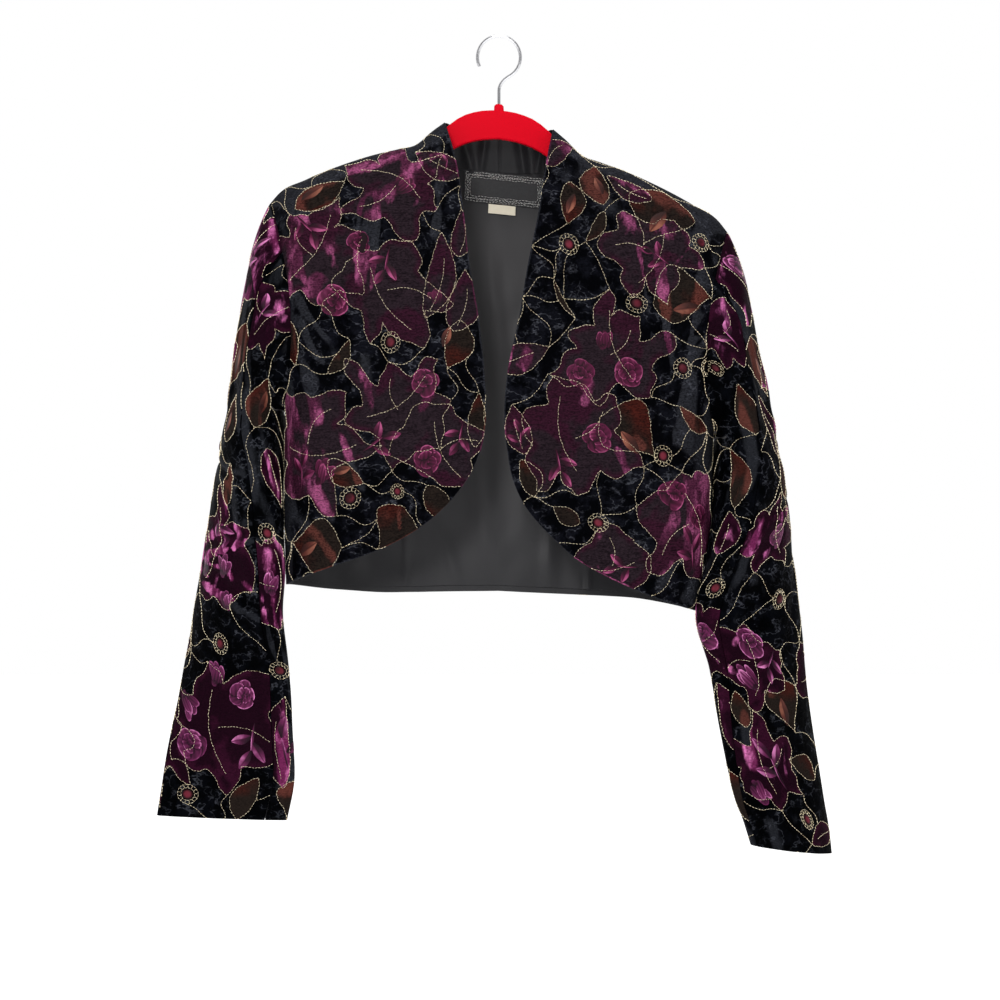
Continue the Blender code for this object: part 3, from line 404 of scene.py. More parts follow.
# Charts of the print: kind, millimetres across, millimetres down, length in millimetres, turn in degrees
CHARTS = {
    "front_right": (
        ("ivy", 92, 86, 102, -64), ("petal", 55, 58, 52, -58), ("oval", 165, 90, 54, 56),
        ("maple", 172, 158, 116, 14), ("horned", 104, 180, 98, 176), ("blade", 60, 166, 82, 10),
        ("petal", 36, 126, 44, 4), ("petal", 36, 188, 58, 10), ("medallion", 99, 230, 20, 10),
        ("oval", 41, 228, 46, 196), ("maple", 94, 294, 112, 30), ("trefoil", 54, 322, 88, 150),
        ("ivy", 182, 328, 118, 96), ("oval", 140, 351, 38, 120), ("medallion", 136, 375, 21, 40),
        ("fan", 174, 420, 60, 92), ("fan", 100, 400, 48, 30), ("oval", 56, 376, 40, 150),
        ("slim", 20, 296, 50, 4), ("medallion", 93, 366, 14, 0), ("slim", 146, 246, 38, 30),
        ("oval", 196, 236, 42, 170), ("rose", 68, 264, 27, 20), ("sprig", 108, 322, 40, 60),
        ("rose", 150, 196, 30, 80), ("sprig", 176, 130, 42, 150), ("rose", 66, 336, 29, 140),
        ("sprig", 38, 314, 34, 200), ("bud", 88, 84, 24, 60), ("sprig", 106, 160, 38, 200),
        ("bud", 162, 352, 28, 20), ("sprig", 184, 352, 38, 10), ("rose", 190, 184, 26, 0),
        ("bud", 58, 186, 16, 0), ("rose", 128, 140, 22, 0), ("sprig", 46, 60, 26, 20),
        ("ember", 180, 424, 26, 60), ("ember", 172, 86, 26, 50), ("ember", 144, 350, 18, 70),
        ("ember", 48, 222, 20, 20)),
    "front_left": (
        ("petal", 57, 40, 44, -36), ("oval", 64, 91, 40, 176), ("oval", 92, 68, 46, 8),
        ("petal", 120, 64, 46, 64), ("fan", 142, 92, 70, -16), ("horned", 140, 130, 86, 172),
        ("medallion", 64, 130, 20, 30), ("medallion", 186, 114, 20, 0), ("medallion", 126, 180, 20, 80),
        ("fan", 171, 176, 60, 100), ("maple", 102, 232, 106, 8), ("petal", 22, 236, 52, -66),
        ("medallion", 168, 237, 19, 20), ("medallion", 198, 234, 19, 120), ("ivy", 71, 310, 110, 14),
        ("petal", 18, 302, 46, 14), ("fan", 118, 304, 62, 56), ("medallion", 150, 318, 19, 0),
        ("ivy", 177, 376, 114, 204), ("trefoil", 106, 422, 78, 86), ("medallion", 91, 383, 19, 70),
        ("oval", 26, 346, 36, 20), ("oval", 62, 378, 28, 60), ("slim", 184, 282, 44, 62),
        ("slim", 88, 112, 34, 150), ("stem", 60, 180, 40, 30), ("rose", 74, 248, 27, 0),
        ("rose", 118, 244, 27, 60), ("bud", 96, 216, 20, 0), ("rose", 90, 306, 30, 20),
        ("sprig", 58, 334, 38, 200), ("rose", 160, 352, 29, 0), ("sprig", 182, 402, 46, 20),
        ("rose", 192, 372, 25, 120), ("sprig", 112, 424, 34, 100), ("rose", 20, 226, 24, 30),
        ("sprig", 18, 308, 30, 10), ("sprig", 144, 136, 34, 60), ("ember", 146, 98, 30, 150),
        ("ember", 120, 308, 26, 40), ("ember", 172, 182, 26, 100), ("ember", 66, 92, 20, 160),
        ("ember", 92, 70, 20, 20)),
    "sleeve_top_right": (
        ("maple", 86, -160, 124, 12), ("fan", 46, -74, 62, 20), ("ivy", 96, -60, 108, 190),
        ("oval", 30, -14, 46, 14), ("medallion", 66, 12, 20, 0), ("slim", 40, 48, 44, 24),
        ("maple", 72, 122, 118, 4), ("medallion", 69, 201, 20, 0), ("ivy", 74, 276, 126, 172),
        ("medallion", 100, 345, 21, 80), ("oval", 42, 344, 42, 20), ("oval", 124, 206, 40, 12),
        ("ivy", 138, 40, 96, 60), ("medallion", 142, 120, 19, 0), ("trefoil", 146, 200, 74, 200),
        ("oval", 150, -60, 50, 30), ("petal", 136, -120, 64, 30), ("maple", 140, 306, 80, 20),
        ("bud", 60, 128, 26, 20), ("bud", 96, 130, 24, -20), ("bud", 56, 160, 22, 0),
        ("bud", 76, 230, 27, 10), ("rose", 48, 247, 28, 90), ("bud", 108, 262, 29, 120),
        ("rose", 102, 298, 34, 20), ("sprig", 44, 294, 46, 200), ("sprig", 78, -168, 44, 20),
        ("rose", 92, -120, 28, 0), ("sprig", 62, 92, 36, 160), ("ember", 46, -70, 28, 10),
        ("ember", 32, -10, 22, 30), ("rose", 140, 44, 26, 0), ("rose", 142, 306, 26, 0)),
    "sleeve_under_right": (
        ("ivy", 12, -110, 84, 20), ("oval", -14, -30, 50, 20), ("petal", -20, 40, 56, 170),
        ("medallion", 2, 92, 19, 0), ("ivy", 2, 144, 92, 12), ("medallion", 8, 221, 19, 80),
        ("blade", 8, 290, 90, 4), ("fan", 2, 347, 40, 0), ("maple", -80, 60, 96, 90),
        ("medallion", -74, 150, 19, 0), ("ivy", -76, 240, 100, 190), ("oval", -70, 330, 46, 40),
        ("maple", -150, 0, 96, 10), ("oval", -140, 100, 46, 70), ("ivy", -146, 190, 104, 20),
        ("medallion", -140, 290, 19, 0), ("trefoil", -150, 345, 70, 180), ("bud", 4, 140, 26, 0),
        ("sprig", 8, 290, 50, 0), ("rose", -84, 60, 26, 0), ("rose", -80, 240, 28, 0),
        ("rose", -146, 190, 28, 0), ("ember", -14, -30, 24, 20), ("sprig", 10, -120, 40, 20)),
    "sleeve_top_left": (
        ("ivy", 84, -178, 112, 24), ("fan", 52, -96, 56, 10), ("maple", 96, -96, 92, 200),
        ("petal", 40, -40, 60, 16), ("slim", 56, 4, 50, 20), ("medallion", 70, -24, 19, 0),
        ("maple", 54, 66, 80, 8), ("medallion", 83, 125, 20, 0), ("ivy", 44, 186, 84, 176),
        ("fan", 74, 226, 52, 20), ("ivy", 42, 290, 92, 14), ("medallion", 72, 332, 19, 0),
        ("oval", 84, 286, 38, 60), ("petal", 90, 352, 44, 100), ("oval", 22, 236, 34, 10),
        ("ivy", 130, 20, 96, 60), ("oval", 130, 120, 46, 20), ("trefoil", 134, 200, 76, 100),
        ("medallion", 138, 280, 19, 0), ("petal", 140, -110, 60, 30), ("rose", 48, 170, 30, 0),
        ("bud", 36, 206, 28, 40), ("sprig", 44, 284, 52, 30), ("bud", 26, 312, 26, 200),
        ("rose", 84, -190, 30, 0), ("sprig", 92, -100, 44, 30), ("rose", 60, 64, 24, 0),
        ("sprig", 66, 190, 34, 160), ("ember", 72, 232, 26, 10), ("ember", 52, -92, 26, 20),
        ("rose", 134, 24, 28, 0), ("rose", 136, 204, 26, 0)),
    "sleeve_under_left": (
        ("ivy", 8, -124, 76, 20), ("oval", 2, -54, 48, 10), ("medallion", -29, -95, 19, 0),
        ("slim", -14, 12, 60, 20), ("petal", -4, 66, 46, 10), ("medallion", 10, 123, 20, 0),
        ("ivy", 4, 176, 84, 30), ("petal", 8, 246, 66, 10), ("oval", 4, 320, 50, 10),
        ("maple", -80, 50, 96, 90), ("medallion", -74, 140, 19, 0), ("trefoil", -74, 290, 90, 190),
        ("fan", -80, 210, 50, 40), ("maple", -150, 0, 96, 10), ("oval", -140, 100, 46, 70),
        ("ivy", -146, 190, 104, 20), ("medallion", -140, 290, 19, 0), ("trefoil", -150, 345, 70, 180),
        ("rose", 2, 170, 25, 0), ("bud", 8, 244, 22, 0), ("rose", -84, 56, 26, 0),
        ("rose", -76, 290, 26, 0), ("rose", -146, 190, 28, 0), ("ember", 4, 320, 26, 10),
        ("sprig", 8, -126, 38, 20)),
    "back": (
        ("ivy", -120, 84, 106, 30), ("oval", -62, 62, 46, 60), ("trefoil", -20, 80, 78, 180),
        ("maple", 40, 96, 108, -20), ("fan", 108, 82, 60, 30), ("ivy", 168, 116, 100, 200),
        ("medallion", -72, 116, 20, 0), ("maple", -176, 150, 104, 12), ("medallion", 98, 132, 20, 40),
        ("ivy", -96, 178, 108, 160), ("oval", -24, 164, 50, 100), ("medallion", 0, 208, 20, 0),
        ("ivy", 66, 190, 112, 10), ("oval", 134, 190, 46, 20), ("maple", 178, 236, 100, 80),
        ("medallion", -150, 238, 20, 10), ("trefoil", -190, 282, 90, 20), ("maple", -122, 296, 108, 190),
        ("ivy", -40, 270, 108, 30), ("fan", 28, 274, 58, 60), ("medallion", 122, 250, 20, 0),
        ("ivy", 104, 312, 110, 200), ("oval", 56, 336, 46, 10), ("medallion", 168, 318, 20, 0),
        ("ivy", 180, 390, 104, 20), ("oval", -76, 352, 48, 80), ("medallion", -30, 344, 20, 0),
        ("maple", 10, 396, 104, 12), ("fan", -64, 412, 56, 30), ("ivy", -136, 392, 104, 12),
        ("medallion", -190, 366, 20, 0), ("oval", 84, 406, 48, 60), ("medallion", 122, 400, 20, 0),
        ("oval", -190, 424, 42, 20), ("rose", -126, 84, 28, 0), ("rose", 40, 96, 28, 0),
        ("rose", -100, 180, 26, 40), ("rose", 70, 196, 28, 0), ("sprig", -178, 150, 44, 10),
        ("rose", 178, 236, 26, 0), ("rose", -44, 274, 28, 90), ("sprig", 104, 310, 48, 30),
        ("bud", -122, 300, 26, 0), ("rose", 12, 396, 28, 0), ("bud", 184, 392, 26, 0),
        ("sprig", -136, 392, 44, 200), ("ember", 108, 84, 26, 20), ("ember", -24, 164, 22, 100),
        ("ember", 28, 276, 24, 60), ("ember", -64, 412, 24, 30))}

# Gold thread in metres: length, gap, width, height and shortest length of stitches, step along a line
STITCH_LENGTH = 0.0024
STITCH_GAP = 0.0007
STITCH_WIDTH = 0.00042
STITCH_HEIGHT = 0.00045
STITCH_SHORTEST = 0.0006
SEW_STEP = 0.0010

# Form of a stitch: slant, shoulders along it, height of its flanks and depth of its root over its height
STITCH_SLANT = 0.18
STITCH_SHOULDERS = (0.12, 0.88)
STITCH_FLANK = 0.15
STITCH_ROOT = 0.7

# Wander of a sewn line: distance, line length at which it is full, rates, range of starts, least step
STITCH_WANDER = 0.0006
WANDER_FULL = 0.09
WANDER_RATES = (480, 1150)
WANDER_START = 6
STILL = 1e-9

# Lines between motifs: lengths and clearance in metres, least spread in degrees, bow, steps along a border
LINE_SHORTEST = 0.008
LINE_LONGEST = 0.078
LINE_CLEAR = 0.0025
LINE_SPREAD = {"body": 33.0, "sleeve": 62.0}
LINE_BOW = 0.20
LINE_POINTS = 24
LINE_PROBES = (0.12, 0.88, 9)
MOTIF_REACH = 0.13
BORDER_STEP = {"body": 0.048, "sleeve": 0.085}

# Medallion: width over length, inner ring over outer, spokes, stone over outer, stone's height in metres
MEDALLION_WIDTH = 0.86
MEDALLION_INNER = 0.66
MEDALLION_SPOKES = 13
MEDALLION_STONE = 0.50
MEDALLION_POINTS = 40
SPOKE_POINTS = 6
STONE_BASE = 0.0002
STONE_RISE = 0.0011

# Colours of the two velvets: the body's is slubbed and worn to plum, the sleeves' smooth and deep
# In each, glint, gleam and shine are colours of painted highlights, the pile's sheen and glints
VELVETS = {
    "body_velvet": {
        "slubs": 1.0, "pile_shade": 0.62,
        "ground": ((0.0004, 0.0005, 0.0010), (0.0040, 0.0043, 0.0068)), "glint": (0.0420, 0.0440, 0.0540),
        "leaf": ((0.0172, 0.0108, 0.0146), (0.0262, 0.0062, 0.0146)), "slub": (0.0050, 0.0030, 0.0042),
        "gleam": (0.0600, 0.0130, 0.0330), "shine": (0.2500, 0.0580, 0.1400)},
    "sleeve_velvet": {
        "slubs": 0.3, "pile_shade": 0.35,
        "ground": ((0.0002, 0.0003, 0.0005), (0.0014, 0.0017, 0.0028)), "glint": (0.0340, 0.0365, 0.0450),
        "leaf": ((0.0092, 0.0018, 0.0054), (0.0240, 0.0034, 0.0125)), "slub": (0.0040, 0.0008, 0.0022),
        "gleam": (0.1150, 0.0140, 0.0600), "shine": (0.5400, 0.1400, 0.3500)}}

# Colours of the brown leaves, their gleam a painted highlight, and of the painted shade between the hairs of
# the pile
BROWN = {
    "plain": (0.0130, 0.0092, 0.0076), "rust": (0.0420, 0.0082, 0.0060),
    "slub": (0.0045, 0.0034, 0.0030), "gleam": (0.1100, 0.0320, 0.0250)}
PILE_SHADE = (0.0006, 0.0006, 0.0010)

# Colours of the raised prints: in their hollows, between, and on their edges; for the medallion stone, dark
# at its rim to a painted highlight on its crown
PRINTS = {
    "body_rose": ((0.0060, 0.0006, 0.0028), (0.0600, 0.0045, 0.0250), (0.3000, 0.0600, 0.1500)),
    "sleeve_rose": ((0.0060, 0.0006, 0.0036), (0.0900, 0.0100, 0.0500), (0.5400, 0.1700, 0.3800)),
    "ember_print": ((0.0160, 0.0050, 0.0044), (0.0660, 0.0165, 0.0120), (0.2100, 0.0760, 0.0480)),
    "medallion_stone": ((0.0040, 0.0004, 0.0008), (0.0170, 0.0012, 0.0030), (0.1100, 0.0110, 0.0220))}

# Woven tapes: dark and light colour, scale of their mottling
WEAVES = {
    "label_weave": ((0.026, 0.026, 0.027), (0.040, 0.040, 0.042), 400),
    "label_thread": ((0.70, 0.70, 0.67), (0.90, 0.90, 0.87), 500),
    "tab_weave": ((0.70, 0.64, 0.50), (0.82, 0.76, 0.62), 300)}

# Angle in degrees from which an edge of a mesh stays sharp
SHARP_ANGLE = 55

# Camera and stage
CAMERA_DISTANCE = 3.0
FRAME_WIDTH = 0.930
FRAME_CENTRE = (0.001, -0.430)
FLOOR_Z = -0.92
FLOOR_HALF = 6.0
ROOM_FRONT = 0.35
ROOM_BACK = 1.0
SENSOR = 36.0

# Lamps: name, place, size, power, and the point at which all are aimed
LAMPS = (
    ("key", (-0.65, -2.75, 0.60), 0.7, 44),
    ("fill", (1.2, -2.4, 0.1), 1.4, 5),
    ("top", (0.1, -0.5, 1.5), 1.0, 20))
LAMP_AIM = (0.0, 0.0, -0.40)

# Chance for the sewing, the same on each run
dice = np.random.default_rng(7)


def smooth_through(knots, values, at):
    """Smooth curve through table rows, as a cubic with the rows' own slopes."""
    slopes = np.gradient(values, knots)
    at = np.clip(at, knots[0], knots[-1])
    row = np.clip(np.searchsorted(knots, at) - 1, 0, len(knots) - 2)
    span = knots[row + 1] - knots[row]
    t = (at - knots[row]) / span
    start = (1 + 2 * t) * (1 - t) ** 2 * values[row] + t * (1 - t) ** 2 * span * slopes[row]
    end = t * t * (3 - 2 * t) * values[row + 1] + t * t * (t - 1) * span * slopes[row + 1]
    return start + end


def read_line(line, walked, at):
    """Places on a line, or values along it, at lengths walked from its start."""
    return np.stack([np.interp(at, walked, line[:, k]) for k in range(line.shape[1])], -1)


def along(line, fractions):
    """Places at fractions of a line's length."""
    steps = np.linalg.norm(np.diff(line, axis=0), axis=1)
    walked = np.concatenate([[0.0], np.cumsum(steps)])
    return read_line(line, walked, np.asarray(fractions) * walked[-1])


def unit(ways):
    """Ways of unit length."""
    return ways / np.linalg.norm(ways, axis=-1, keepdims=True)


def run_gaps(places, start, run):
    """Distance from each place to each straight run."""
    away = places[..., None, :] - start
    t = np.clip(np.sum(away * run, axis=-1) / np.sum(run * run, axis=-1), 0.0, 1.0)
    return np.linalg.norm(away - t[..., None] * run, axis=-1)


def ease(t):
    """Smooth step from 0 to 1."""
    t = np.clip(t, 0.0, 1.0)
    return t * t * (3 - 2 * t)


def round_over(distance, radius):
    """Quarter ellipse that lifts the cloth from a seam to its full depth."""
    return np.sqrt(1.0 - (1.0 - np.clip(distance / radius, 0.0, 1.0)) ** 2)


def ridge_drop(out):
    """Drop of the shoulder and collar ridge at a distance out."""
    return smooth_through(RIDGE[:, 0], RIDGE[:, 1], out)


# The ridge as a line of short straight runs
RIDGE_OUTS = np.linspace(RIDGE[0, 0], RIDGE[-1, 0], RIDGE_POINTS)
RIDGE_LINE = np.stack([RIDGE_OUTS, ridge_drop(RIDGE_OUTS)], -1)


def ridge_distance(out, drop):
    """Shortest distance from places of a panel to the ridge."""
    return run_gaps(np.stack([out, drop], -1), RIDGE_LINE[:-1], np.diff(RIDGE_LINE, axis=0)).min(axis=-1)


def body_column(side, column, drop):
    """One column of the body table, with the half width of the side asked for."""
    place = {"half": SIDE_COLUMN[side], "front": 3, "back": 4, "round": 5}[column]
    return smooth_through(BODY[:, 0], BODY[:, place], drop)


def fold_height(folds, out, drop):
    """Height that tabled folds add at places of a panel."""
    total = np.zeros(np.shape(out))
    for top_out, foot_out, top, foot, half_width, height in folds:
        t = (drop - top) / (foot - top)
        across = (out - (top_out + (foot_out - top_out) * t)) / half_width
        fade = ease(t / FOLD_FADE) * ease((1.0 - t) / FOLD_FADE)
        total = total + height * fade * np.exp(-across ** 2)
    return total


def body_lifts(side, out, drop):
    """Side and shoulder rounding of the body, each from 0 at its seam to 1."""
    edge = round_over(body_column(side, "half", drop) - out, body_column(side, "round", drop))
    roof_radius = COLLAR_ROUND + (SHOULDER_ROUND - COLLAR_ROUND) * ease((out - ROUND_FROM) / ROUND_RUN)
    return edge, round_over(ridge_distance(out, drop), roof_radius)


def wave(place, other, rate, swing, swing_rate):
    """An uneven wave along one way, whose crests swing along the other."""
    return np.sin(place * rate + swing * np.sin(other * swing_rate))


def body_depth(side, face, out, drop):
    """Distance of the front or back cloth from the seam plane, creases included."""
    edge, roof = body_lifts(side, out, drop)
    folds, creases = (FRONT_FOLDS, FRONT_CREASES) if face == "front" else (BACK_FOLDS, BACK_CREASES)
    ripple = wave(out, drop, *WAVE_ACROSS) * wave(drop, out, *WAVE_DOWN)
    height = fold_height(folds[side], out, drop) + fold_height(creases[side], out, drop)
    return (body_column(side, face, drop) + (height + WAVE_HEIGHT * ripple)) * edge * roof


def armhole(side, angle):
    """Distance out and drop round an armhole: 90 degrees is the shoulder tip, 0 the front."""
    lift = np.sin(np.radians(angle))
    drop = (SHOULDER_TIP[1] + UNDERARM_DROP) / 2 - lift * (UNDERARM_DROP - SHOULDER_TIP[1]) / 2
    out = body_column(side, "half", drop) - ARMHOLE_INSET * (1.0 - lift ** 2)
    return out, drop


def armhole_inward(angle):
    """Way into the garment from the armhole's edge, square to the line of the seam."""
    return np.stack([np.zeros(np.shape(angle)), np.cos(np.radians(angle)), -np.sin(np.radians(angle))], -1)


def panel_grid(foot, top, outer, inner, across, up):
    """Places between four border lines, each blended across the panel."""
    s, t = np.meshgrid(across, up)
    s, t = s[..., None], t[..., None]
    corners = (1 - s) * (1 - t) * foot[0] + s * (1 - t) * foot[-1] + (1 - s) * t * top[0] + s * t * top[-1]
    return (1 - t) * foot[None] + t * top[None] + (1 - s) * outer[:, None] + s * inner[:, None] - corners


def hung(points, side="left"):
    """Puts half-body points on their side, below the hook and down the hanger's tilt."""
    placed = np.array(points, dtype=float)
    placed[..., 0] *= SIDES[side]
    placed[..., 2] -= NUB_DROP + placed[..., 0] * TILT
    return placed


class Panel:
    """A grid of cloth: outer points, inner points, and each point's place on the flat cloth."""

    def __init__(self, name, outer, inner, cloth):
        self.name = name
        self.outer = outer
        self.inner = inner
        self.cloth = cloth
        self.part = "sleeve" if name.startswith("sleeve") else "body"
        self.rows, self.columns = outer.shape[:2]
        self.normal = unit(outer - inner)
        self.tree = KDTree(self.rows * self.columns)
        for index, (u, v) in enumerate(cloth.reshape(-1, 2)):
            self.tree.insert((u, v, 0.0), index)
        self.tree.balance()

    def mix(self, values, row, column):
        """Values of the grid at fractional rows and columns."""
        low = np.clip(row.astype(int), 0, self.rows - 2)
        near = np.clip(column.astype(int), 0, self.columns - 2)
        t, s = (row - low)[:, None], (column - near)[:, None]
        foot = values[low, near] * (1 - s) + values[low, near + 1] * s
        top = values[low + 1, near] * (1 - s) + values[low + 1, near + 1] * s
        by_row = top - foot
        by_column = (values[low, near + 1] - values[low, near]) * (1 - t)
        by_column = by_column + (values[low + 1, near + 1] - values[low + 1, near]) * t
        return foot * (1 - t) + top * t, by_row, by_column

    def at(self, places):
        """Points and normals at places on the flat cloth, and whether each place is on the panel."""
        nearest = np.array([self.tree.find((u, v, 0.0))[1] for u, v in places])
        row, column = (nearest // self.columns).astype(float), (nearest % self.columns).astype(float)
        for _ in range(FIND_ROUNDS):
            found, by_row, by_column = self.mix(self.cloth, row, column)
            miss = places - found
            size = by_row[:, 0] * by_column[:, 1] - by_row[:, 1] * by_column[:, 0]
            size = np.where(np.abs(size) < TINY, TINY, size)
            row_step = (miss[:, 0] * by_column[:, 1] - miss[:, 1] * by_column[:, 0]) / size
            column_step = (by_row[:, 0] * miss[:, 1] - by_row[:, 1] * miss[:, 0]) / size
            row = np.clip(row + np.clip(row_step, -FIND_STEP, FIND_STEP), 0, self.rows - 1)
            column = np.clip(column + np.clip(column_step, -FIND_STEP, FIND_STEP), 0, self.columns - 1)
        miss = np.linalg.norm(places - self.mix(self.cloth, row, column)[0], axis=1)
        points = self.mix(self.outer, row, column)[0]
        normals = unit(self.mix(self.normal, row, column)[0])
        return points, normals, miss < FIND_MISS

    def border(self):
        """Places round the panel's edge on the flat cloth."""
        edge = self.cloth
        return np.concatenate([edge[0], edge[1:, -1], edge[-1, -2::-1], edge[-2:0:-1, 0]])


def panel_points(side, face, places, seams, ridge):
    """Outer and inner points of a panel, with the way in at its seams and the top points on the ridge."""
    out, drop = places[..., 0], places[..., 1]
    step = SLOPE_STEP
    way = 1.0 if face == "back" else -1.0
    depth = body_depth(side, face, out, drop)
    depth[-1, ridge] = 0.0
    rise_out = body_depth(side, face, out + step, drop) - body_depth(side, face, out - step, drop)
    rise_down = body_depth(side, face, out, drop + step) - body_depth(side, face, out, drop - step)
    inward = unit(np.stack([rise_out, np.full(out.shape, -2 * step * way), -rise_down], -1))
    inward = np.where(np.isnan(seams), inward, seams)
    outer = np.stack([out, way * np.maximum(depth, SEAM_GAP / 2), -drop], -1)
    return outer, outer + inward * CLOTH


def body_cloth(side, face, places):
    """Flat-cloth places of body points: the rounding at side and shoulder is laid out flat."""
    out, drop = places[..., 0], places[..., 1]
    edge, roof = body_lifts(side, out, drop)
    full = body_column(side, face, drop)
    return np.stack([out + LAY_FLAT * full * (1 - edge), drop - LAY_FLAT * full * (1 - roof)], -1)


def side_rows():
    """Rows up a panel's outer border: drops of the side seam, then turns of the armhole."""
    seam = np.linspace(HEM_DROP, UNDERARM_DROP, round((HEM_DROP - UNDERARM_DROP) / GRID))[:-1]
    lifts = np.linspace(-1.0, 1.0, round((UNDERARM_DROP - SHOULDER_TIP[1]) / GRID))
    return seam, np.degrees(np.arcsin(lifts))


def outer_border(side, turns, seam):
    """Places up the side seam and round the front or back of the armhole to the shoulder tip."""
    side_line = np.stack([body_column(side, "half", seam), seam], -1)
    return np.concatenate([side_line, np.stack(armhole(side, turns), -1)])


def border_inward(face, seam, turns):
    """Way into the garment along the outer border."""
    side_way = np.tile((-1.0, 0.0, 0.0), (len(seam), 1))
    arm_way = armhole_inward(turns)
    arm_way[:, 1] *= 1.0 if face == "front" else -1.0
    return np.concatenate([side_way, arm_way])


def ridge_inward(out):
    """Way into the garment along the ridge, square to its line."""
    step = RIDGE_STEP
    slope = (ridge_drop(out + step) - ridge_drop(out - step)) / (2 * step)
    return unit(np.stack([-slope, np.zeros(out.shape), -np.ones(out.shape)], -1))


def front_panel(side):
    """One front, from side seam to front edge."""
    across = np.linspace(0.0, 1.0, round(ACROSS["front"] / GRID)) ** COLUMN_CROWD
    seam, turns = side_rows()
    outer = outer_border(side, turns, seam)
    up = (outer[0, 1] - outer[:, 1]) / (outer[0, 1] - outer[-1, 1])
    edge_drop = np.linspace(FRONT_EDGE[0, 0], HEM_DROP, EDGE_POINTS)
    edge_out = smooth_through(FRONT_EDGE[:, 0], FRONT_EDGE[:, SIDE_COLUMN[side]], edge_drop)
    edge = np.stack([edge_out, edge_drop], -1)
    upper = edge[edge_drop <= FRONT_CORNER_DROP][::-1]
    lower = np.concatenate([edge[edge_drop > FRONT_CORNER_DROP][::-1], upper[:1]])
    ridge_out = SHOULDER_TIP[0] + across * (RIDGE[0, 0] - SHOULDER_TIP[0])
    top = np.stack([ridge_out, ridge_drop(ridge_out)], -1)
    places = panel_grid(along(lower, across), top, outer, along(upper, up), across, up)
    seams = np.full(places.shape[:2] + (3,), np.nan)
    seams[-1] = ridge_inward(ridge_out)
    seams[:, 0] = border_inward("front", seam, turns)
    outer_points, inner_points = panel_points(side, "front", places, seams, slice(None))
    cloth = body_cloth(side, "front", places)
    return Panel("front_" + side, hung(outer_points, side), hung(inner_points, side), cloth)


def back_half(side):
    """Columns, rows, outer and inner points and cloth places of a half back, from side seam to centre."""
    across = np.linspace(0.0, 1.0, round(ACROSS["back"] / GRID)) ** COLUMN_CROWD
    seam, turns = side_rows()
    outer = outer_border(side, turns, seam)
    up = (outer[0, 1] - outer[:, 1]) / (outer[0, 1] - outer[-1, 1])
    reach = 1.0 - across
    ridge_out = SHOULDER_TIP[0] * reach
    on_ridge = ridge_out >= RIDGE[0, 0] - RIDGE_MISS
    neck = BACK_NECK_DROP + (RIDGE[0, 1] - BACK_NECK_DROP) * (ridge_out / RIDGE[0, 0]) ** 2
    top = np.stack([ridge_out, np.where(on_ridge, ridge_drop(ridge_out), neck)], -1)
    rise = smooth_through(HEM_RISE[:, 0], HEM_RISE[:, SIDE_COLUMN[side]], across)
    foot = np.stack([outer[0, 0] * reach, HEM_DROP - rise], -1)
    middle = np.stack([np.zeros(len(up)), foot[-1, 1] + up * (top[-1, 1] - foot[-1, 1])], -1)
    places = panel_grid(foot, top, outer, middle, across, up)
    seams = np.full(places.shape[:2] + (3,), np.nan)
    seams[-1, on_ridge] = ridge_inward(ridge_out[on_ridge])
    seams[:, 0] = border_inward("back", seam, turns)
    outer_points, inner_points = panel_points(side, "back", places, seams, on_ridge)
    return across, up, outer_points, inner_points, body_cloth(side, "back", places)


def joined(right, left):
    """A whole grid from its right and left halves, meeting on the centre line."""
    middle = (right[:, -1:] + left[:, -1:]) / 2
    return np.concatenate([right[:, :-1], middle, left[:, -2::-1]], axis=1)


def back_panel(halves):
    """The whole back."""
    outer = joined(hung(halves["right"][2], "right"), hung(halves["left"][2], "left"))
    inner = joined(hung(halves["right"][3], "right"), hung(halves["left"][3], "left"))
    cloth = joined(halves["right"][4] * (-1, 1), halves["left"][4])
    return Panel("back", outer, inner, cloth)


def sleeve_columns(side, ring):
    """Centre, outward way, half axes, turn and set-back of a sleeve ring, read from cap and sleeve rows."""
    rows = []
    for angle, reach_right, reach_left, half_depth, back in CAP:
        reach = reach_right if side == "right" else reach_left
        middle = (reach + HINGE_RADIUS) / 2
        way = math.radians(angle)
        rows.append((HINGE[0] + middle * math.sin(way), HINGE[1] - middle * math.cos(way), angle,
                     half_depth, (reach - HINGE_RADIUS) / 2, 0.0, back))
    table = SLEEVE_RIGHT if side == "right" else SLEEVE_LEFT
    for drop, outer, long_axis, short_axis, turn, back, lie in table:
        way = math.radians(turn)
        half = math.hypot(long_axis / 2 * math.sin(way), short_axis / 2 * math.cos(way))
        rows.append((outer - half, drop, lie, long_axis / 2, short_axis / 2, turn, back))
    rows = np.array(rows)
    stations = np.arange(len(rows), dtype=float)
    return [smooth_through(stations, rows[:, k], ring) for k in range(rows.shape[1])]


def sleeve_lift(side, ring, angle):
    """Height that folds, creases and the cloth's slight waves add to a sleeve."""
    turn = np.radians(angle)
    lift = WAVE_HEIGHT * wave(ring, turn, *SLEEVE_WAVE) * np.sin(turn * SLEEVE_WAVES_ROUND + ring)
    for top, foot, top_angle, foot_angle, half_width, height in SLEEVE_FOLDS[side] + SLEEVE_CREASES[side]:
        t = (ring - top) / (foot - top)
        off = (angle - top_angle - (foot_angle - top_angle) * t + 180.0) % 360.0 - 180.0
        fade = ease(t / FOLD_FADE) * ease((1.0 - t) / FOLD_FADE)
        lift = lift + height * fade * np.exp(-(off / half_width) ** 2)
    return lift


